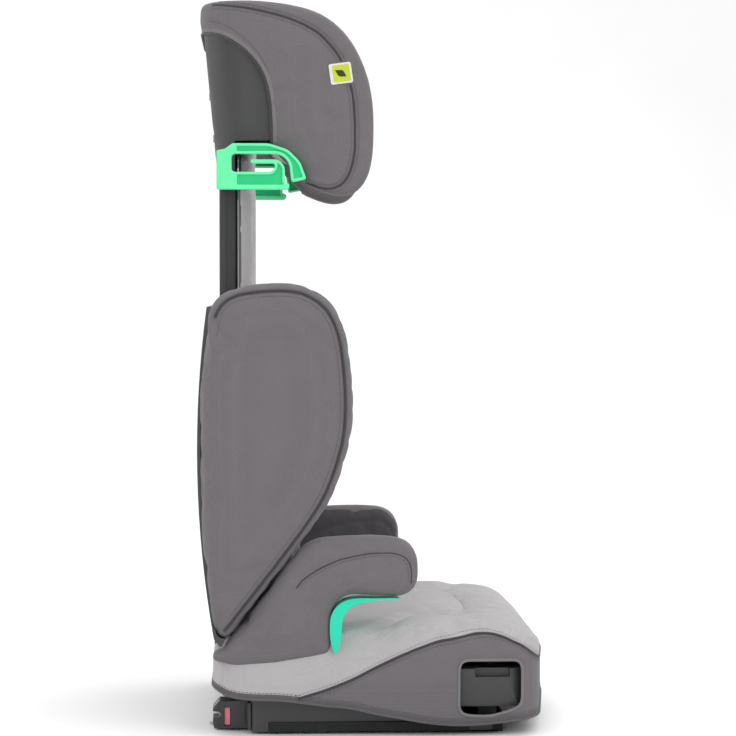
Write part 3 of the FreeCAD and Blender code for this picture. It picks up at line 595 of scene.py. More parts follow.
def press(obj, line, depth, width):
    """Presses a sewn channel into a piece along a line on its surface."""
    points = points_of(obj)
    low, high = line.min(0) - 3 * width, line.max(0) + 3 * width
    near = np.nonzero(((points > low) & (points < high)).all(1))[0]
    gap = distance_to(points[near], line)
    normals = normals_of(obj)[near]
    points[near] -= normals * (depth * np.exp(-(gap / width) ** 2))[:, None]
    move_to(obj, points)


def tree_of(obj):
    return BVHTree.FromPolygons([tuple(p) for p in points_of(obj)], [tuple(p.vertices) for p in obj.data.polygons])


def laid_on(obj, line, direction, lift=0.0, tree=None):
    """A line of points brought onto a piece's surface along a direction, as points and normals."""
    tree = tree or tree_of(obj)
    toward = Vector(direction).normalized()
    found, normals = [], []
    for point in line:
        hit, normal, _, _ = tree.ray_cast(Vector(point) - toward * 400, toward)
        if hit is not None:
            found.append(hit + normal * lift)
            normals.append(normal)
    return np.array(found), np.array(normals)


def tube_mesh(line, radius, closed=False, sides=8, flat=1.0, normals=None):
    """Vertices and faces of a round or flattened tube along a line of points."""
    line = np.asarray(line, float)
    if closed:
        along = np.roll(line, -1, 0) - np.roll(line, 1, 0)
    else:
        along = np.gradient(line, axis=0)
    along /= np.maximum(np.linalg.norm(along, axis=1), 1e-9)[:, None]
    if normals is None:
        side = np.cross(along[0], (0.3, 0.5, 0.8))
        frames = []
        for t in along:
            side = side - t * (side @ t)
            side /= np.linalg.norm(side)
            frames.append(side)
        normals = np.array(frames)
    else:
        normals = normals - along * (normals * along).sum(1)[:, None]
        normals /= np.maximum(np.linalg.norm(normals, axis=1), 1e-9)[:, None]
    across = np.cross(along, normals)
    angles = np.linspace(0, 2 * math.pi, sides, endpoint=False)
    rings = (line[:, None] + radius * flat * np.cos(angles)[None, :, None] * normals[:, None]
             + radius * np.sin(angles)[None, :, None] * across[:, None])
    vertices, faces = rings.reshape(-1, 3), []
    count = len(line)
    for i in range(count if closed else count - 1):
        for j in range(sides):
            a, b = i * sides, ((i + 1) % count) * sides
            k = (j + 1) % sides
            faces.append((a + j, a + k, b + k, b + j))
    if not closed:
        ends = np.array([line[0] - along[0] * radius * 0.6, line[-1] + along[-1] * radius * 0.6])
        vertices = np.vstack([vertices, ends])
        last = (count - 1) * sides
        for j in range(sides):
            k = (j + 1) % sides
            faces.append((count * sides, k, j))
            faces.append((count * sides + 1, last + j, last + k))
    return vertices, faces


def tube(name, line, radius, material, body, slot_name, closed=False, flat=1.0, normals=None, sides=8):
    vertices, faces = tube_mesh(line, radius, closed, sides, flat, normals)
    return piece(name, vertices, faces, material, body, slot_name)


def stitches(name, line, normals, material, body, slot_name, pitch=4.6, length=3.1, radius=0.42):
    """A row of short threads along a line on a surface."""
    reach = np.concatenate([[0], np.cumsum(np.linalg.norm(np.diff(line, axis=0), axis=1))])
    vertices, faces = [], []
    rings, sides = (-1.0, -0.75, 0.0, 0.75, 1.0), 5
    for start in np.arange(1.0, reach[-1] - length, pitch):
        middle = start + length / 2
        at = np.array([np.interp(middle, reach, line[:, k]) for k in range(3)])
        ahead = np.array([np.interp(middle + 1.5, reach, line[:, k]) for k in range(3)])
        up = np.array([np.interp(middle, reach, normals[:, k]) for k in range(3)])
        along = ahead - at
        along /= max(np.linalg.norm(along), 1e-9)
        up -= along * (up @ along)
        up /= max(np.linalg.norm(up), 1e-9)
        across = np.cross(along, up)
        first = len(vertices)
        for t in rings:
            wide = radius * max(0.25, math.sqrt(1 - 0.9 * t * t))
            for j in range(sides):
                angle = 2 * math.pi * j / sides
                vertices.append(at + along * t * length / 2 + up * (wide * math.cos(angle) + 0.15 * radius)
                                + across * wide * math.sin(angle))
        for r in range(len(rings) - 1):
            for j in range(sides):
                k = (j + 1) % sides
                a, b = first + r * sides, first + (r + 1) * sides
                faces.append((a + j, a + k, b + k, b + j))
        faces.append([first + j for j in reversed(range(sides))])
        faces.append([first + (len(rings) - 1) * sides + j for j in range(sides)])
    return piece(name, vertices, faces, material, body, slot_name)


def cut_along(obj, values):
    """Splits the faces of a piece where values, one to a vertex, cross zero. Returns the new values."""
    bm = bmesh.new()
    bm.from_mesh(obj.data)
    layer = bm.verts.layers.float.new("cut")
    bm.verts.ensure_lookup_table()
    for vertex, value in zip(bm.verts, values):
        vertex[layer] = value if abs(value) > 0.15 else 0.0
    new = []
    for edge in list(bm.edges):
        a, b = edge.verts
        f, g = a[layer], b[layer]
        if f * g < 0:
            _, vertex = bmesh.utils.edge_split(edge, a, f / (f - g))
            vertex[layer] = 0.0
            new.append(vertex)
    for face in list(bm.faces):
        zero = [v for v in face.verts if v[layer] == 0.0]
        signs = {v[layer] > 0 for v in face.verts if v[layer] != 0.0}
        if len(zero) == 2 and len(signs) == 2:
            order = list(face.verts)
            if abs(order.index(zero[0]) - order.index(zero[1])) not in (1, len(order) - 1):
                bmesh.utils.face_split(face, zero[0], zero[1])
    bm.to_mesh(obj.data)
    result = np.array([v[layer] for v in bm.verts])
    bm.free()
    attribute = obj.data.attributes.get("cut")
    if attribute:
        obj.data.attributes.remove(attribute)
    obj.data.update()
    return result


def face_values(obj, values):
    """The value of largest size at each face's corners."""
    result = []
    for polygon in obj.data.polygons:
        corner = [values[v] for v in polygon.vertices]
        result.append(max(corner, key=abs))
    return np.array(result)


def paint(obj, chosen):
    """Gives the second material to the faces whose corners are all chosen."""
    faces = obj.data.polygons
    faces.foreach_set("material_index", [int(chosen[list(face.vertices)].all()) for face in faces])


def drop_faces(obj, chosen):
    """Removes the chosen faces, and vertices that no face is left on."""
    bm = bmesh.new()
    bm.from_mesh(obj.data)
    bm.faces.ensure_lookup_table()
    gone = [bm.faces[int(i)] for i in np.nonzero(chosen)[0]]
    bmesh.ops.delete(bm, geom=gone, context="FACES")
    bm.to_mesh(obj.data)
    bm.free()
    obj.data.update()


def open_loops(obj):
    """The open edges of a piece, as closed loops of vertex numbers."""
    count, ways = {}, {}
    for polygon in obj.data.polygons:
        for key in polygon.edge_keys:
            count[key] = count.get(key, 0) + 1
    for (a, b), n in count.items():
        if n == 1:
            ways.setdefault(a, []).append(b)
            ways.setdefault(b, []).append(a)
    loops, seen = [], set()
    for start in ways:
        if start in seen:
            continue
        loop, at = [], start
        while at is not None:
            seen.add(at)
            loop.append(at)
            at = next((v for v in ways[at] if v not in seen), None)
        loops.append(loop)
    return loops


def edge_line(obj, loop, gap=3.0, rounds=3):
    """A closed loop of vertices as an even, softened line."""
    points = points_of(obj)[loop]
    line = even(np.vstack([points, points[:1]]), gap)[:-1]
    for _ in range(rounds):
        line = (np.roll(line, 1, 0) + 2 * line + np.roll(line, -1, 0)) / 4
    return line


def thicken(obj, thickness):
    """Gives an open skin a thickness, inward from its outer face."""
    solid = obj.modifiers.new("Solidify", "SOLIDIFY")
    solid.thickness = thickness / 1000
    solid.offset = -1
    apply_modifiers(obj)


# ---------------------------------------------------------------- backrest wings


def without_rear(outline, depth, low, high):
    """The outline drawn in by depth, open behind: it ends at Y low, or at Y high above Z 300."""
    run = outline.inset(depth)
    run = run[(run[:, 0] < low) | (run[:, 1] > 300) & (run[:, 0] < high)]
    start = np.argmax(np.linalg.norm(np.roll(run, 1, 0) - run, axis=1))
    return smooth_line(np.roll(run, -start, 0), 3.0, 4)


def wings():
    outline = Outline(WING, soften=2)

    def field(x, y, z):
        d = outline(y, z)
        return both(d + 0.8, np.abs(x + 201.5) - 17.0 - crown(d, 3.0, 34), 12.5)

    wing = piece("wing_cover_right", *surface(field, (-228, 14, 96), (-176, 214, 522), 5.0),
                 dark_fabric, "backrest", "dark_fabric")
    flat = at_x(-230, without_rear(outline, 9.0, 176, 186))
    back = without_rear(outline, 15.0, 172, 184)
    outer, _ = laid_on(wing, flat, (1, 0, 0))
    inner, _ = laid_on(wing, flat + (60, 0, 0), (-1, 0, 0))
    points = points_of(wing)
    held = (distance_to(points, outer) < 5) | (distance_to(points, inner) < 5)
    inflate(wing, held | (points[:, 0] > -186), cap=5, slack=0.015)
    subdivide(wing)
    for line in (outer, inner):
        press(wing, line, 1.6, 3.2)
    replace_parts(wing, "wing_cover_right")
    left = twin(wing, "backrest")
    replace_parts(left, "wing_cover_left")
    tree = tree_of(wing)
    for side, shift, way in (("outer", 0, (1, 0, 0)), ("inner", 60, (-1, 0, 0))):
        line, _ = laid_on(wing, flat + (shift, 0, 0), way, 0.6, tree)
        cord = tube(f"wing_piping_{side}_right", line, 1.9, piping_cord, "backrest", "dark_fabric")
        twin(cord, "backrest")
        line, normals = laid_on(wing, at_x(shift - 230, back), way, 0.1, tree)
        sewn = stitches(f"wing_stitches_{side}_right", line, normals, dark_thread, "backrest", "dark_fabric")
        twin(sewn, "backrest")


# ---------------------------------------------------------------- armrests


def armrests():
    outline = Outline(ARMREST)

    def field(x, y, z):
        d = outline(y, z)
        return both(d + 0.8, np.abs(x + 200) - 18.5 - crown(d, 3.0, 22), 11.0)

    rest = piece("armrest_cover_right", *surface(field, (-228, -52, 72), (-172, 198, 234), 4.5),
                 dark_fabric, "base", "dark_fabric")
    side = smooth_line([(94, 172), (88, 181), (70, 193), (46, 204), (12, 211), (-18, 211.5), (-33, 205), (-37.5, 190),
                        (-36, 176)], 3.0, 8)
    flat = at_x(-230, side)
    outer, _ = laid_on(rest, flat, (1, 0, 0))
    inner, _ = laid_on(rest, flat + (60, 0, 0), (-1, 0, 0))
    points = points_of(rest)
    held = (distance_to(points, outer) < 4) | (distance_to(points, inner) < 4) | (points[:, 2] < 105)
    inflate(rest, held, cap=4, slack=0.02)
    subdivide(rest)
    for line in (outer, inner):
        press(rest, line, 1.3, 2.6)
    rest.data.materials.append(lining)
    cut_along(rest, points_of(rest)[:, 0] + 187.0)
    points = points_of(rest)
    inside = [int(points[list(p.vertices)][:, 0].mean() > -187.0) for p in rest.data.polygons]
    rest.data.polygons.foreach_set("material_index", inside)
    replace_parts(rest, "armrest_cover_right")
    left = twin(rest, "base")
    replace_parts(left, "armrest_cover_left")
    tree = tree_of(rest)
    line, normals = laid_on(rest, at_x(-230, beside(side, -3.2)), (1, 0, 0), 0.1, tree)
    twin(stitches("armrest_stitches_outer_right", line, normals, dark_thread, "base", "dark_fabric"), "base")
    line, _ = laid_on(rest, flat, (1, 0, 0), -0.2, tree)
    twin(tube("armrest_seam_outer_right", line, 0.8, piping_cord, "base", "dark_fabric"), "base")


# ---------------------------------------------------------------- headrest


TAG_MIDDLE, TAG_TILT = np.array((41.5, 758.8)), math.radians(-8)


def off_tag(points):
    """Runs of a line's points that the tag doesn't cover, as lists of point numbers."""
    c, n = math.cos(TAG_TILT), math.sin(TAG_TILT)
    flat = (points[:, 1:] - TAG_MIDDLE) @ np.array([[c, -n], [n, c]])
    clear = (np.abs(flat[:, 0]) > 13.4) | (np.abs(flat[:, 1]) > 12.4)
    breaks = np.nonzero(np.diff(np.nonzero(clear)[0]) > 1)[0] + 1
    return [run for run in np.split(np.nonzero(clear)[0], breaks) if len(run) > 3]


def head_frame(x, y, z):
    """Where a point lies in the headrest's plan: width at the back's scale, and depth from the back."""
    back = 187.5 + 0.094 * (z - 674)
    depth = back - y
    return np.abs(x) - 0.023 * np.clip(depth, 0, 230), depth


def head_band(x, y, z, half, back, corner):
    """Signed distance to the headrest's plan at a half width and a distance beyond the shell's back."""
    across, depth = head_frame(x, y, z)
    along = -depth - back
    u, v = across - (half - corner), along + corner
    return np.hypot(np.maximum(u, 0), np.maximum(v, 0)) + np.minimum(np.maximum(u, v), 0) - corner


def headrest():
    side, bare = Outline(HEADREST, soften=2), Outline(BARE, soften=1)

    def field(x, y, z):
        d = side(y, z)
        edge = np.clip(-d, 0, 60)
        outer = head_band(x, y, z, 149.0, 1.4, 58) - crown(-edge, 1.5, 25)
        inner = -head_band(x, y, z, 116.0, -36.0, 36)
        return both(both(outer, d + 0.3, 9.0), inner, 10.0)

    cover = piece("headrest_cover", *surface(field, (-166, 0, 608), (166, 212, 852), 5.0),
                  dark_fabric, "headrest", "dark_fabric")
    rim = smooth_line([(189, 840), (147, 834), (112, 826), (89, 818), (65.5, 805), (45, 782), (34, 760), (27, 733),
                       (25, 704), (25, 669), (30, 646), (39, 631), (52, 625), (65.5, 627), (79, 632), (89, 638),
                       (100, 648)], 3.0, 8)
    flat = at_x(-300, rim)
    lines = []
    for sign in (1, -1):
        on, _ = laid_on(cover, flat * (sign, 1, 1), (sign, 0, 0))
        lines.append(on)
    points = points_of(cover)
    held = (distance_to(points, lines[0]) < 5) | (distance_to(points, lines[1]) < 5)
    held |= bare(points[:, 1], points[:, 2]) < 8
    across, depth = head_frame(*points.T)
    held |= (depth > -2) & (across < 146)
    inflate(cover, held, cap=3.5, slack=0.01)
    subdivide(cover)
    for line in lines:
        press(cover, line, 1.5, 3.0)

    def from_bare():
        """Each vertex's distance from the bare part's edge, and whether it is on the cover's outside."""
        points = points_of(cover)
        return bare(points[:, 1], points[:, 2]), head_band(*points.T, 146.0, -1.0, 55) > -1.0

    values, outside = from_bare()
    values = cut_along(cover, np.where(outside, values, np.maximum(values, 3.0)))
    drop_faces(cover, face_values(cover, values) < 0)
    cover.data.materials.append(pale_tape)
    values, outside = from_bare()
    cut_along(cover, np.where(outside, values, 30.0) - 5.5)
    values, outside = from_bare()
    paint(cover, np.where(outside, values, 30.0) < 5.6)
    edges = [edge_line(cover, loop) for loop in open_loops(cover) if len(loop) > 40]
    thicken(cover, 2.6)
    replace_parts(cover, "headrest_cover", "headrest_cushion")
    for number, line in enumerate(edges):
        tube(f"headrest_binding_{number}", line, 1.6, piping_cord, "headrest", "dark_fabric", closed=True)

    tree = tree_of(cover)
    for sign, name in ((1, "right"), (-1, "left")):
        way = (sign, 0, 0)
        line, _ = laid_on(cover, flat * (sign, 1, 1), way, 0.3, tree)
        for part, run in enumerate(off_tag(line) if sign > 0 else [np.arange(len(line))]):
            tube(f"headrest_piping_{part}_{name}", line[run], 1.3, piping_cord, "headrest", "dark_fabric")
        for number, shift in enumerate((-4.5, 4.5)):
            line, normals = laid_on(cover, at_x(-300 * sign, beside(rim, shift)), way, 0.1, tree)
            for part, run in enumerate(off_tag(line) if sign > 0 else [np.arange(len(line))]):
                stitches(f"headrest_stitches_{number}{part}_{name}", line[run], normals[run], dark_thread, "headrest",
                         "dark_fabric")
        arch = smooth_line([(196, 822), (180, 818), (165, 809), (148, 796), (134, 779), (124, 760)], 3.0, 8)
        line, normals = laid_on(cover, at_x(-300 * sign, arch), way, 0.1, tree)
        stitches(f"headrest_arch_{name}", line, normals, dark_thread, "headrest", "dark_fabric")
    head_pads()
    label(tree)


def head_pads():
    """The lighter pads inside the headrest: one behind the head and one at each side."""
    back_outline = Outline([(-84, 655, 26), (84, 655, 26), (92, 815, 34), (-92, 815, 34)])

    def back_field(x, y, z):
        depth = 187.5 + 0.094 * (z - 674) - y
        d = back_outline(x, z)
        return both(d, np.abs(depth - 39.5) - 4.0 - crown(d, 4.0, 26), 7.0)

    pad = piece("head_pad_back", *surface(back_field, (-100, 118, 645), (100, 190, 826), 4.5),
                light_fabric, "headrest", "light_fabric")
    channels = []
    for z in (695, 735, 775):
        row = np.column_stack([np.linspace(-78, 78, 60), np.full(60, 60.0), np.full(60, float(z))])
        on, _ = laid_on(pad, row, (0, 1, 0))
        channels.append(on)
    points = points_of(pad)
    held = np.min([distance_to(points, line) for line in channels], axis=0) < 4
    depth = 187.5 + 0.094 * (points[:, 2] - 674) - points[:, 1]
    inflate(pad, held | (depth < 38), cap=4, slack=0.03)
    subdivide(pad)
    for number, line in enumerate(channels):
        press(pad, line, 2.2, 3.0)
        on, normals = laid_on(pad, line, (0, 1, 0), 0.1)
        stitches(f"head_pad_stitches_{number}", on, normals, light_thread, "headrest", "light_fabric")

    side_outline = Outline([(36, 650, 30), (126, 672, 30), (140, 812, 40), (80, 812, 46), (34, 752, 46)])

    def side_field(x, y, z):
        across, _ = head_frame(x, y, z)
        d = side_outline(y, z)
        return both(d, np.abs(across - 113.5) - 3.0 - crown(d, 4.0, 24), 6.0)

    pad = piece("head_pad_right", *surface(side_field, (-128, 28, 642), (-92, 148, 822), 4.5),
                light_fabric, "headrest", "light_fabric")
    points = points_of(pad)
    inflate(pad, head_frame(*points.T)[0] > 113, cap=3, slack=0.03)
    subdivide(pad)
    inset = side_outline.inset(9.0)
    line, normals = laid_on(pad, at_x(0, np.vstack([inset, inset[:1]])), (-1, 0, 0), 0.1)
    twin(stitches("head_pad_side_stitches_right", line, normals, light_thread, "headrest", "light_fabric"),
         "headrest")
    twin(pad, "headrest")


def label(tree):
    """The small sewn tag on the headrest's right side, with a plain leaf shape in place of its mark."""
    turn = np.array([[math.cos(TAG_TILT), -math.sin(TAG_TILT)], [math.sin(TAG_TILT), math.cos(TAG_TILT)]])
    corners = np.array([(a, b) for a in (-13, 0, 13) for b in (-12, 0, 12)]) @ turn.T + TAG_MIDDLE
    under, _ = laid_on(None, np.column_stack([np.full(9, -300.0), corners]), (1, 0, 0), 0, tree)
    plane = np.linalg.lstsq(np.column_stack([under[:, 1:], np.ones(9)]), under[:, 0], rcond=None)[0]

    def patch(name, corners, low, high, material):
        outline = rounded(corners)
        rings = []
        for lift, shrink in ((low, 0.0), (high - 0.25, 0.0), (high, 0.35)):
            centre = outline.mean(0)
            size = np.linalg.norm(outline - centre, axis=1)[:, None]
            rings.append((lift, outline - (outline - centre) / size * shrink))
        vertices, faces, count = [], [], len(outline)
        for lift, ring in rings:
            flat = ring @ turn.T + TAG_MIDDLE
            vertices.append(np.column_stack([np.column_stack([flat, np.ones(count)]) @ plane - lift, flat]))
        for r in range(len(rings) - 1):
            for j in range(count):
                k = (j + 1) % count
                faces.append((r * count + j, (r + 1) * count + j, (r + 1) * count + k, r * count + k))
        faces.append(list(range(count)))
        faces.append([2 * count + j for j in reversed(range(count))])
        return piece(name, np.vstack(vertices), faces, material, "headrest", "yellow_label", smooth=False)

    border = patch("label_tag", [(-13, -12, 2.5), (13, -12, 2.5), (13, 12, 2.5), (-13, 12, 2.5)], -1.5, 1.6,
                   tag_border)
    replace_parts(border, "label_tag")
    patch("label_field", [(-10.6, -9.6, 1.5), (9.4, -9.6, 1.5), (9.4, 9.8, 1.5), (-10.6, 9.8, 1.5)], 1.5, 1.95,
          tag_fabric)
    patch("label_leaf", [(-6, -4.5, 0.6), (3, -3.5, 4), (6.5, 4.5, 0.6), (-3, 3.5, 4)], 1.9, 2.25, tag_mark)


def mast_pad():
    """The padded cover on the mast's front."""
    outline = Outline([(-72, 440, 12), (72, 440, 12), (72, 673, 10), (-72, 673, 10)])

    def field(x, y, z):
        d = outline(x, z)
        return both(d + 0.6, np.abs(y - 152) - 7.2 - crown(d, 2.0, 20), 6.5)

    pad = piece("mast_cover", *surface(field, (-80, 136, 432), (80, 168, 682), 4.5),
                light_fabric, "headrest", "light_fabric")
    lines = [np.column_stack([np.full(70, x), np.full(70, 100.0), np.linspace(446, 668, 70)]) for x in (-44.0, 44.0)]
    on = [laid_on(pad, line, (0, 1, 0))[0] for line in lines]
    points = points_of(pad)
    held = np.min([distance_to(points, line) for line in on], axis=0) < 4
    inflate(pad, held | (points[:, 1] > 156), cap=3, slack=0.02)
    subdivide(pad)
    for number, line in enumerate(on):
        press(pad, line, 1.8, 2.8)
        at, normals = laid_on(pad, line, (0, 1, 0), 0.1)
        stitches(f"mast_cover_stitches_{number}", at, normals, light_thread, "headrest", "light_fabric")
    pad.data.materials.append(hem_tape)
    cut_along(pad, points_of(pad)[:, 1] - 157.0)
    paint(pad, points_of(pad)[:, 1] > 156.9)
    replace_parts(pad, "mast_cover")


# ---------------------------------------------------------------- backrest cushion


def back_cushion():
    outline = Outline([(-174, 113, 24), (174, 113, 24), (174, 436, 46), (-174, 436, 46)])

    def field(x, y, z):
        d = outline(x, z)
        bolster = 5.0 * ease(np.abs(x), 96, 130) * (1 - ease(np.abs(x), 150, 174))
        front = 104.5 - crown(d, 7.0, 42) - bolster
        return both(d + 0.6, np.maximum(front - y, y - 134.4), 12.0)

    pad = piece("backrest_cushion", *surface(field, (-182, 82, 106), (182, 142, 442), 5.5),
                light_fabric, "backrest", "light_fabric")
    pad.data.materials.append(dark_fabric)
    sides = []
    for sign in (-1, 1):
        curve = smooth_line([(sign * 112, 118), (sign * 104, 200), (sign * 98, 290), (sign * 104, 370),
                             (sign * 120, 432)], 3.0, 10)
        sides.append(np.column_stack([curve[:, 0], np.full(len(curve), 40.0), curve[:, 1]]))
    ribs = [np.column_stack([np.linspace(-96, 96, 80), np.full(80, 40.0), np.full(80, z) - 5 *
                             np.cos(np.linspace(-1.5, 1.5, 80))]) for z in (165.0, 212.0, 259.0, 306.0, 353.0, 400.0)]
    on = [laid_on(pad, line, (0, 1, 0))[0] for line in sides + ribs]
    points = points_of(pad)
    held = np.min([distance_to(points, line) for line in on], axis=0) < 4.5
    inflate(pad, held | (points[:, 1] > 126), cap=7, slack=0.03)
    subdivide(pad)
    for number, line in enumerate(on):
        press(pad, line, 2.6, 3.4)
        at, normals = laid_on(pad, line, (0, 1, 0), 0.1)
        stitches(f"back_stitches_{number}", at, normals, light_thread, "backrest", "light_fabric")
    points = points_of(pad)
    limit = np.interp(points[:, 2], [118, 200, 290, 370, 432], [112, 104, 98, 104, 120])
    values = cut_along(pad, np.abs(points[:, 0]) - limit - 1.2)
    choice = face_values(pad, values) > 0
    pad.data.polygons.foreach_set("material_index", choice.astype(int))
    pad.data.update()
    tree = tree_of(pad)
    for number, line in enumerate(sides):
        wide = line.copy()
        wide[:, 0] += np.sign(wide[:, 0]) * 1.2
        at, _ = laid_on(pad, wide, (0, 1, 0), 0.4, tree)
        tube(f"back_piping_{number}", at, 1.8, piping_cord, "backrest", "dark_fabric")
    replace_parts(pad, "backrest_cushion")


# ---------------------------------------------------------------- seat cover

HEM = smooth_line([(-207, 24), (-160, 19), (-132, 15), (-107, 13), (-80, 13), (-50, 16.5), (-23, 22), (-5, 25),
                   (17, 30), (32, 34.5), (62, 36.5), (86, 40.5), (108, 43.5), (153, 45), (175, 48.5), (190, 57)],
                  3.0, 20)
SIDE_PIPING = smooth_line([(-206, 80.5), (-188.5, 84), (-172, 97), (-157, 108), (-146, 114.5), (-134, 118),
                           (-114, 116.5), (-94, 113), (-60, 106.5), (-25, 93.5), (2, 81), (31, 66), (63, 53.5),
                           (88, 46.5), (110, 38), (190, 0)], 3.0, 12)
HEM_WIDTH = 6.0
CUP_OPENING = [(-164, 34, 10), (-128, 22, 60), (-91, 24.5, 9), (-91, 88, 8), (-164, 88, 8)]


def along_y(y, line):
    return np.interp(y, line[:, 0], line[:, 1])


def seat():
    side, plan = Outline(SEAT_SIDE), Outline(SEAT_PLAN)
    front, opening = Outline(SEAT_FRONT), Outline(CUP_OPENING)

    def field(x, y, z):
        top = both(side(y, z), front(x, z), 2.0)
        bolster = 2.5 * ease(np.abs(x), 110, 150) * ease(y, -120, -60)
        dome = 2.0 * np.clip(1 - (x / 118) ** 2, 0, 1) * ease(y, -118, -80)
        return both(top - (bolster + dome) * ease(z, 100, 122), plan(x, y), 2.0)

    cover = piece("seat_cover", *surface(field, (-224, -216, -16), (224, 200, 138), 5.5),
                  light_fabric, "base", "light_fabric")
    cover.data.materials.append(dark_fabric)
    cover.data.materials.append(hem_tape)
    bend = smooth_line([(-190, -3), (-160, -22), (-132, -33), (-106, -46), (-94, -66), (-86, -88), (-70, -105),
                        (-40, -112), (0, -113), (40, -112), (70, -105), (86, -88), (94, -66), (106, -46), (132, -33),
                        (160, -22), (190, -3)], 3.0, 10)
    channels = [np.column_stack([bend, np.full(len(bend), 300.0)])]
    for x, y in ((0, -122), (50, -119), (-50, -119), (96, -98), (-96, -98), (132, -66), (-132, -66)):
        t = np.linspace(0, 1, 40)
        channels.append(np.column_stack([x * (1 + 0.22 * t), y + (-194 - y) * t, np.full(40, 300.0)]))
    down = (0, 0, -1)
    tree = tree_of(cover)
    on = [laid_on(cover, line, down, 0, tree)[0] for line in channels]
    crease = smooth_line([(-6, 124), (8, 112), (30, 102), (50, 93), (68, 85), (92, 77)], 3.0, 8)
    creases = [laid_on(cover, at_x(-300 * sign, crease), (sign, 0, 0), 0, tree)[0] for sign in (1, -1)]
    points = points_of(cover)
    held = np.min([distance_to(points, line) for line in on], axis=0) < 4.5
    held |= points[:, 2] < 96
    inflate(cover, held, pressure=5.0, cap=5, slack=0.03)
    subdivide(cover)
    for number, line in enumerate(on):
        press(cover, line, 2.6 if number == 0 else 1.3, 3.2 if number == 0 else 5.0)
    for line in creases:
        press(cover, line, 0.9, 4.0)

    points = points_of(cover)
    values = cut_along(cover, points[:, 2] - along_y(points[:, 1], HEM))
    drop_faces(cover, face_values(cover, values) < 0)
    points = points_of(cover)
    values = cut_along(cover, np.where(np.abs(points[:, 0]) > 150, opening(points[:, 1], points[:, 2]), 50.0))
    drop_faces(cover, face_values(cover, values) < 0)
    points = points_of(cover)
    cut_along(cover, points[:, 2] - along_y(points[:, 1], HEM) - HEM_WIDTH)
    points = points_of(cover)
    cut_along(cover, points[:, 2] - along_y(points[:, 1], SIDE_PIPING))
    points = points_of(cover)
    above_hem = points[:, 2] - along_y(points[:, 1], HEM) - HEM_WIDTH
    piping = points[:, 2] - along_y(points[:, 1], SIDE_PIPING)
    kind = np.zeros(len(cover.data.polygons), int)
    for number, polygon in enumerate(cover.data.polygons):
        corner = list(polygon.vertices)
        if np.mean(above_hem[corner]) < 0:
            kind[number] = 2
        elif np.mean(piping[corner]) < 0:
            kind[number] = 1
    cover.data.polygons.foreach_set("material_index", kind)
    edges = [edge_line(cover, loop, 3.0, 4) for loop in open_loops(cover) if len(loop) > 30]
    thicken(cover, 2.6)
    for number, line in enumerate(edges):
        wide = np.ptp(line[:, 0]) > 200
        tube(f"seat_edge_{number}", line, 1.9 if wide else 1.7, hem_tape if wide else pale_piping,
             "base", "dark_fabric", closed=True)
    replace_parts(cover, "seat_cover", "seat_foam")

    tree = tree_of(cover)
    at, normals = laid_on(cover, channels[0], down, 0.1, tree)
    stitches("seat_stitches_0", at, normals, light_thread, "base", "light_fabric")
    around = even(np.vstack([plan.points, plan.points[:1]]), 3.0)[:-1]
    around = around[np.argsort(np.arctan2(around[:, 0], -around[:, 1] - 20))]
    rows = {"piping": 0.0, "upper": 4.5, "lower": -4.5, "hem": None}
    for name, shift in rows.items():
        line, normals = [], []
        run = around[around[:, 1] < (120 if shift is not None else 184)]
        for x, y in run:
            if shift is None:
                z = along_y(y, HEM) + 7.2
            else:
                z = along_y(y, SIDE_PIPING) + shift
                if z < along_y(y, HEM) + 3:
                    continue
            inward = Vector((-x, -(y + 10), 0)).normalized()
            hit, normal, _, _ = tree.ray_cast(Vector((x, y, z)) - inward * 60, inward)
            if hit is not None:
                if abs(x) > 150 and opening(np.array(hit.y), np.array(hit.z)) < 2:
                    continue
                line.append(hit + normal * (-0.3 if name == "piping" else 0.1))
                normals.append(normal)
        line, normals = np.array(line), np.array(normals)
        if name == "piping":
            tube("seat_piping", even(line, 3.0), 1.8, piping_cord, "base", "dark_fabric")
        else:
            stitches(f"seat_{name}_stitches", line, normals, light_thread if name == "upper" else dark_thread,
                     "base", "dark_fabric")


def sleeve():
    """The dark lining of the drawer's opening, and the tray's lower band."""
    loop = rounded([(-169, 32, 9), (-91, 32, 9), (-91, 88, 9), (-169, 88, 9)])
    inner = rounded([(-167.8, 33.2, 8), (-92.2, 33.2, 8), (-92.2, 86.8, 8), (-167.8, 86.8, 8)])
    count = len(loop)
    rings = [(-196.0, loop), (-179.0, loop), (-179.0, inner), (-196.0, inner)]
    vertices = [(x, y, z) for x, ring in rings for y, z in ring]
    faces = [(r * count + j, r * count + (j + 1) % count, (r + 1) % 4 * count + (j + 1) % count,
              (r + 1) % 4 * count + j) for r in range(4) for j in range(count)]
    twin(piece("cup_sleeve_right", vertices, faces, black_plastic, "base", "black_plastic"), "base")
    band = rounded([(-190.4, -140, 24), (-190.4, 126, 3), (-186, 126, 1), (-186, -137, 20)])
    vertices = [(x, y, z) for z in (3.2, 14.0) for x, y in band]
    twin(piece("tray_band_right", vertices, prism_faces(len(band)), rubber, "base", "black_plastic", smooth=False),
         "base")


# ---------------------------------------------------------------- belt guides

LAP_GUIDE = [(-23, 159.8), (5, 159.4), (26, 160), (40, 157), (50, 149.5), (55.5, 139), (56.5, 128), (56, 113),
             (52.5, 100), (50, 95.5), (47.5, 99), (44, 108), (43, 118), (42.6, 131), (40, 141), (33, 149), (23, 153.6),
             (8, 157), (-23, 158.2)]


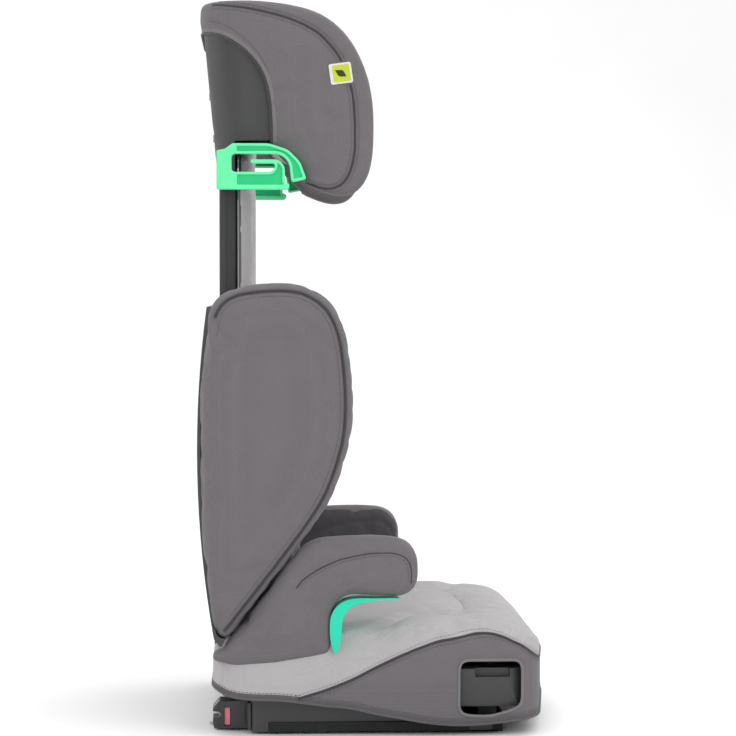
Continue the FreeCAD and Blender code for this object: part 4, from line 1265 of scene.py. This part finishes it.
def lap_guides():
    """The crescents in the corner under each armrest that the lap belt runs through."""
    loop = cut_corners(np.array(LAP_GUIDE), 2)
    vertices = [(x, y, z) for x in (-217.5, -186.0) for y, z in loop]
    guide = piece("lap_belt_guide_right", vertices, prism_faces(len(loop)), teal_plastic, "base", "green_plastic")
    bm = bmesh.new()
    bm.from_mesh(guide.data)
    bmesh.ops.recalc_face_normals(bm, faces=bm.faces)
    bm.to_mesh(guide.data)
    bm.free()
    edge = guide.modifiers.new("Bevel", "BEVEL")
    edge.width, edge.segments, edge.limit_method, edge.angle_limit = 0.0005, 2, "ANGLE", 1.0
    apply_modifiers(guide)
    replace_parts(guide, "lap_belt_guide_right")
    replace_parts(twin(guide, "base"), "lap_belt_guide_left")


def belt_guides():
    """The shoulder belt guides, with a raised rim round a sunken web."""
    outline = Outline([(184.7 - a, 624.7 + b, r) for a, b, r in GUIDE], margin=8, step=0.7)

    def web(y, z):
        """How far a spot lies in the sunken fields above and below the slot, 0 to 1."""
        keep = ease(z, 629.5, 631.0) * (1 - ease(y, 160, 163))
        return ease(-outline(y, z), 2.6, 3.8) * keep

    def field(x, y, z):
        d = outline(y, z)
        return both(d, np.abs(x + 160) - 5.8 + 2.3 * web(y, z), 1.2)

    body = surface(field, (-168, 78, 621), (-152, 190, 682), 1.3)
    guide = piece("shoulder_belt_guide_right", *body, lit_rim_plastic, "headrest", "green_plastic")
    guide.data.materials.append(green_plastic)
    # The raised rim keeps the lighter green as a painted highlight; faces deep in the sunken web take the darker
    # green, painted shade for the recess.
    points = points_of(guide)
    sunk = web(points[:, 1], points[:, 2])
    guide.data.polygons.foreach_set("material_index", [int(sunk[list(p.vertices)].mean() > 0.6)
                                                       for p in guide.data.polygons])
    lug = Outline([(168, 629.7, 4), (184, 629.7, 4), (184, 665.7, 4), (168, 665.7, 4)], margin=8, step=1.0)

    def lug_field(x, y, z):
        return both(lug(y, z), np.abs(x + 151.5) - 3.0, 1.5)

    # The lug takes the darker green too, the copy with painted shade.
    foot = piece("guide_lug_right", *surface(lug_field, (-158, 164, 626), (-146, 188, 670), 2.0), green_plastic,
                 "headrest", "green_plastic")
    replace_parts(guide, "shoulder_belt_guide_right")
    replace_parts(twin(guide, "headrest"), "shoulder_belt_guide_left")
    twin(foot, "headrest")


# ---------------------------------------------------------------- studio


FOCAL_LENGTH = 120.4728
CAMERA_PLACE, CAMERA_AIM = Vector((-3.0, 0.135, 0.507)), Vector((0, 0.0034, 0.4144))


def studio():
    """A pale floor that curves up behind, soft lights and the camera."""
    f = Finish("backdrop", 0.9, Specular_IOR_Level=0.1)
    f.colour(f.mix(f.noise(3, 2.0), [0.90, 0.90, 0.90, 1], [0.94, 0.94, 0.94, 1]))
    profile = [(-7.0, 0.0)]
    profile += [(2.2 + 1.6 * math.sin(a), 1.6 - 1.6 * math.cos(a)) for a in np.linspace(0, math.pi / 2, 24)]
    profile.append((3.8, 7.0))
    vertices = [(x * 1000, y * 1000, z * 1000) for x, z in profile for y in (-7.0, 7.0)]
    faces = [(2 * i, 2 * i + 1, 2 * i + 3, 2 * i + 2) for i in range(len(profile) - 1)]
    mesh = bpy.data.meshes.new("backdrop")
    mesh.from_pydata([tuple(c / 1000 for c in v) for v in vertices], [], faces)
    mesh.polygons.foreach_set("use_smooth", [True] * len(mesh.polygons))
    mesh.materials.append(f.material)
    sweep = bpy.data.objects.new("backdrop", mesh)
    bpy.context.scene.collection.objects.link(sweep)

    world = bpy.data.worlds.new("studio")
    world.use_nodes = True
    world.node_tree.nodes["Background"].inputs["Color"].default_value = (1, 1, 1, 1)
    world.node_tree.nodes["Background"].inputs["Strength"].default_value = 0.75
    bpy.context.scene.world = world
    for name, place, size, power in (
        ("key", (-2.2, -1.6, 2.8), 2.4, 42), ("fill", (-3.2, 1.6, 1.4), 2.6, 22), ("top", (0.2, 0.0, 3.2), 2.4, 30),
        ("back", (1.6, -1.8, 2.2), 2.0, 16), ("rear", (0.6, 2.8, 1.8), 2.2, 18),
    ):
        lamp = bpy.data.lights.new(name, "AREA")
        lamp.shape, lamp.size, lamp.energy = "SQUARE", size, power
        light = bpy.data.objects.new(name, lamp)
        light.location = place
        light.rotation_euler = (Vector((0, 0, 0.4)) - Vector(place)).to_track_quat("-Z", "Y").to_euler()
        bpy.context.scene.collection.objects.link(light)

    lens = bpy.data.cameras.new("camera")
    lens.sensor_width = 36.0
    lens.lens = FOCAL_LENGTH
    lens.clip_end = 50
    camera = bpy.data.objects.new("camera", lens)
    camera.location = CAMERA_PLACE
    camera.rotation_euler = (CAMERA_AIM - camera.location).to_track_quat("-Z", "Y").to_euler()
    bpy.context.scene.collection.objects.link(camera)
    bpy.context.scene.camera = camera
    bpy.context.scene.view_settings.view_transform = "Standard"


wings()
armrests()
headrest()
mast_pad()
back_cushion()
seat()
belt_guides()
lap_guides()
sleeve()
studio()
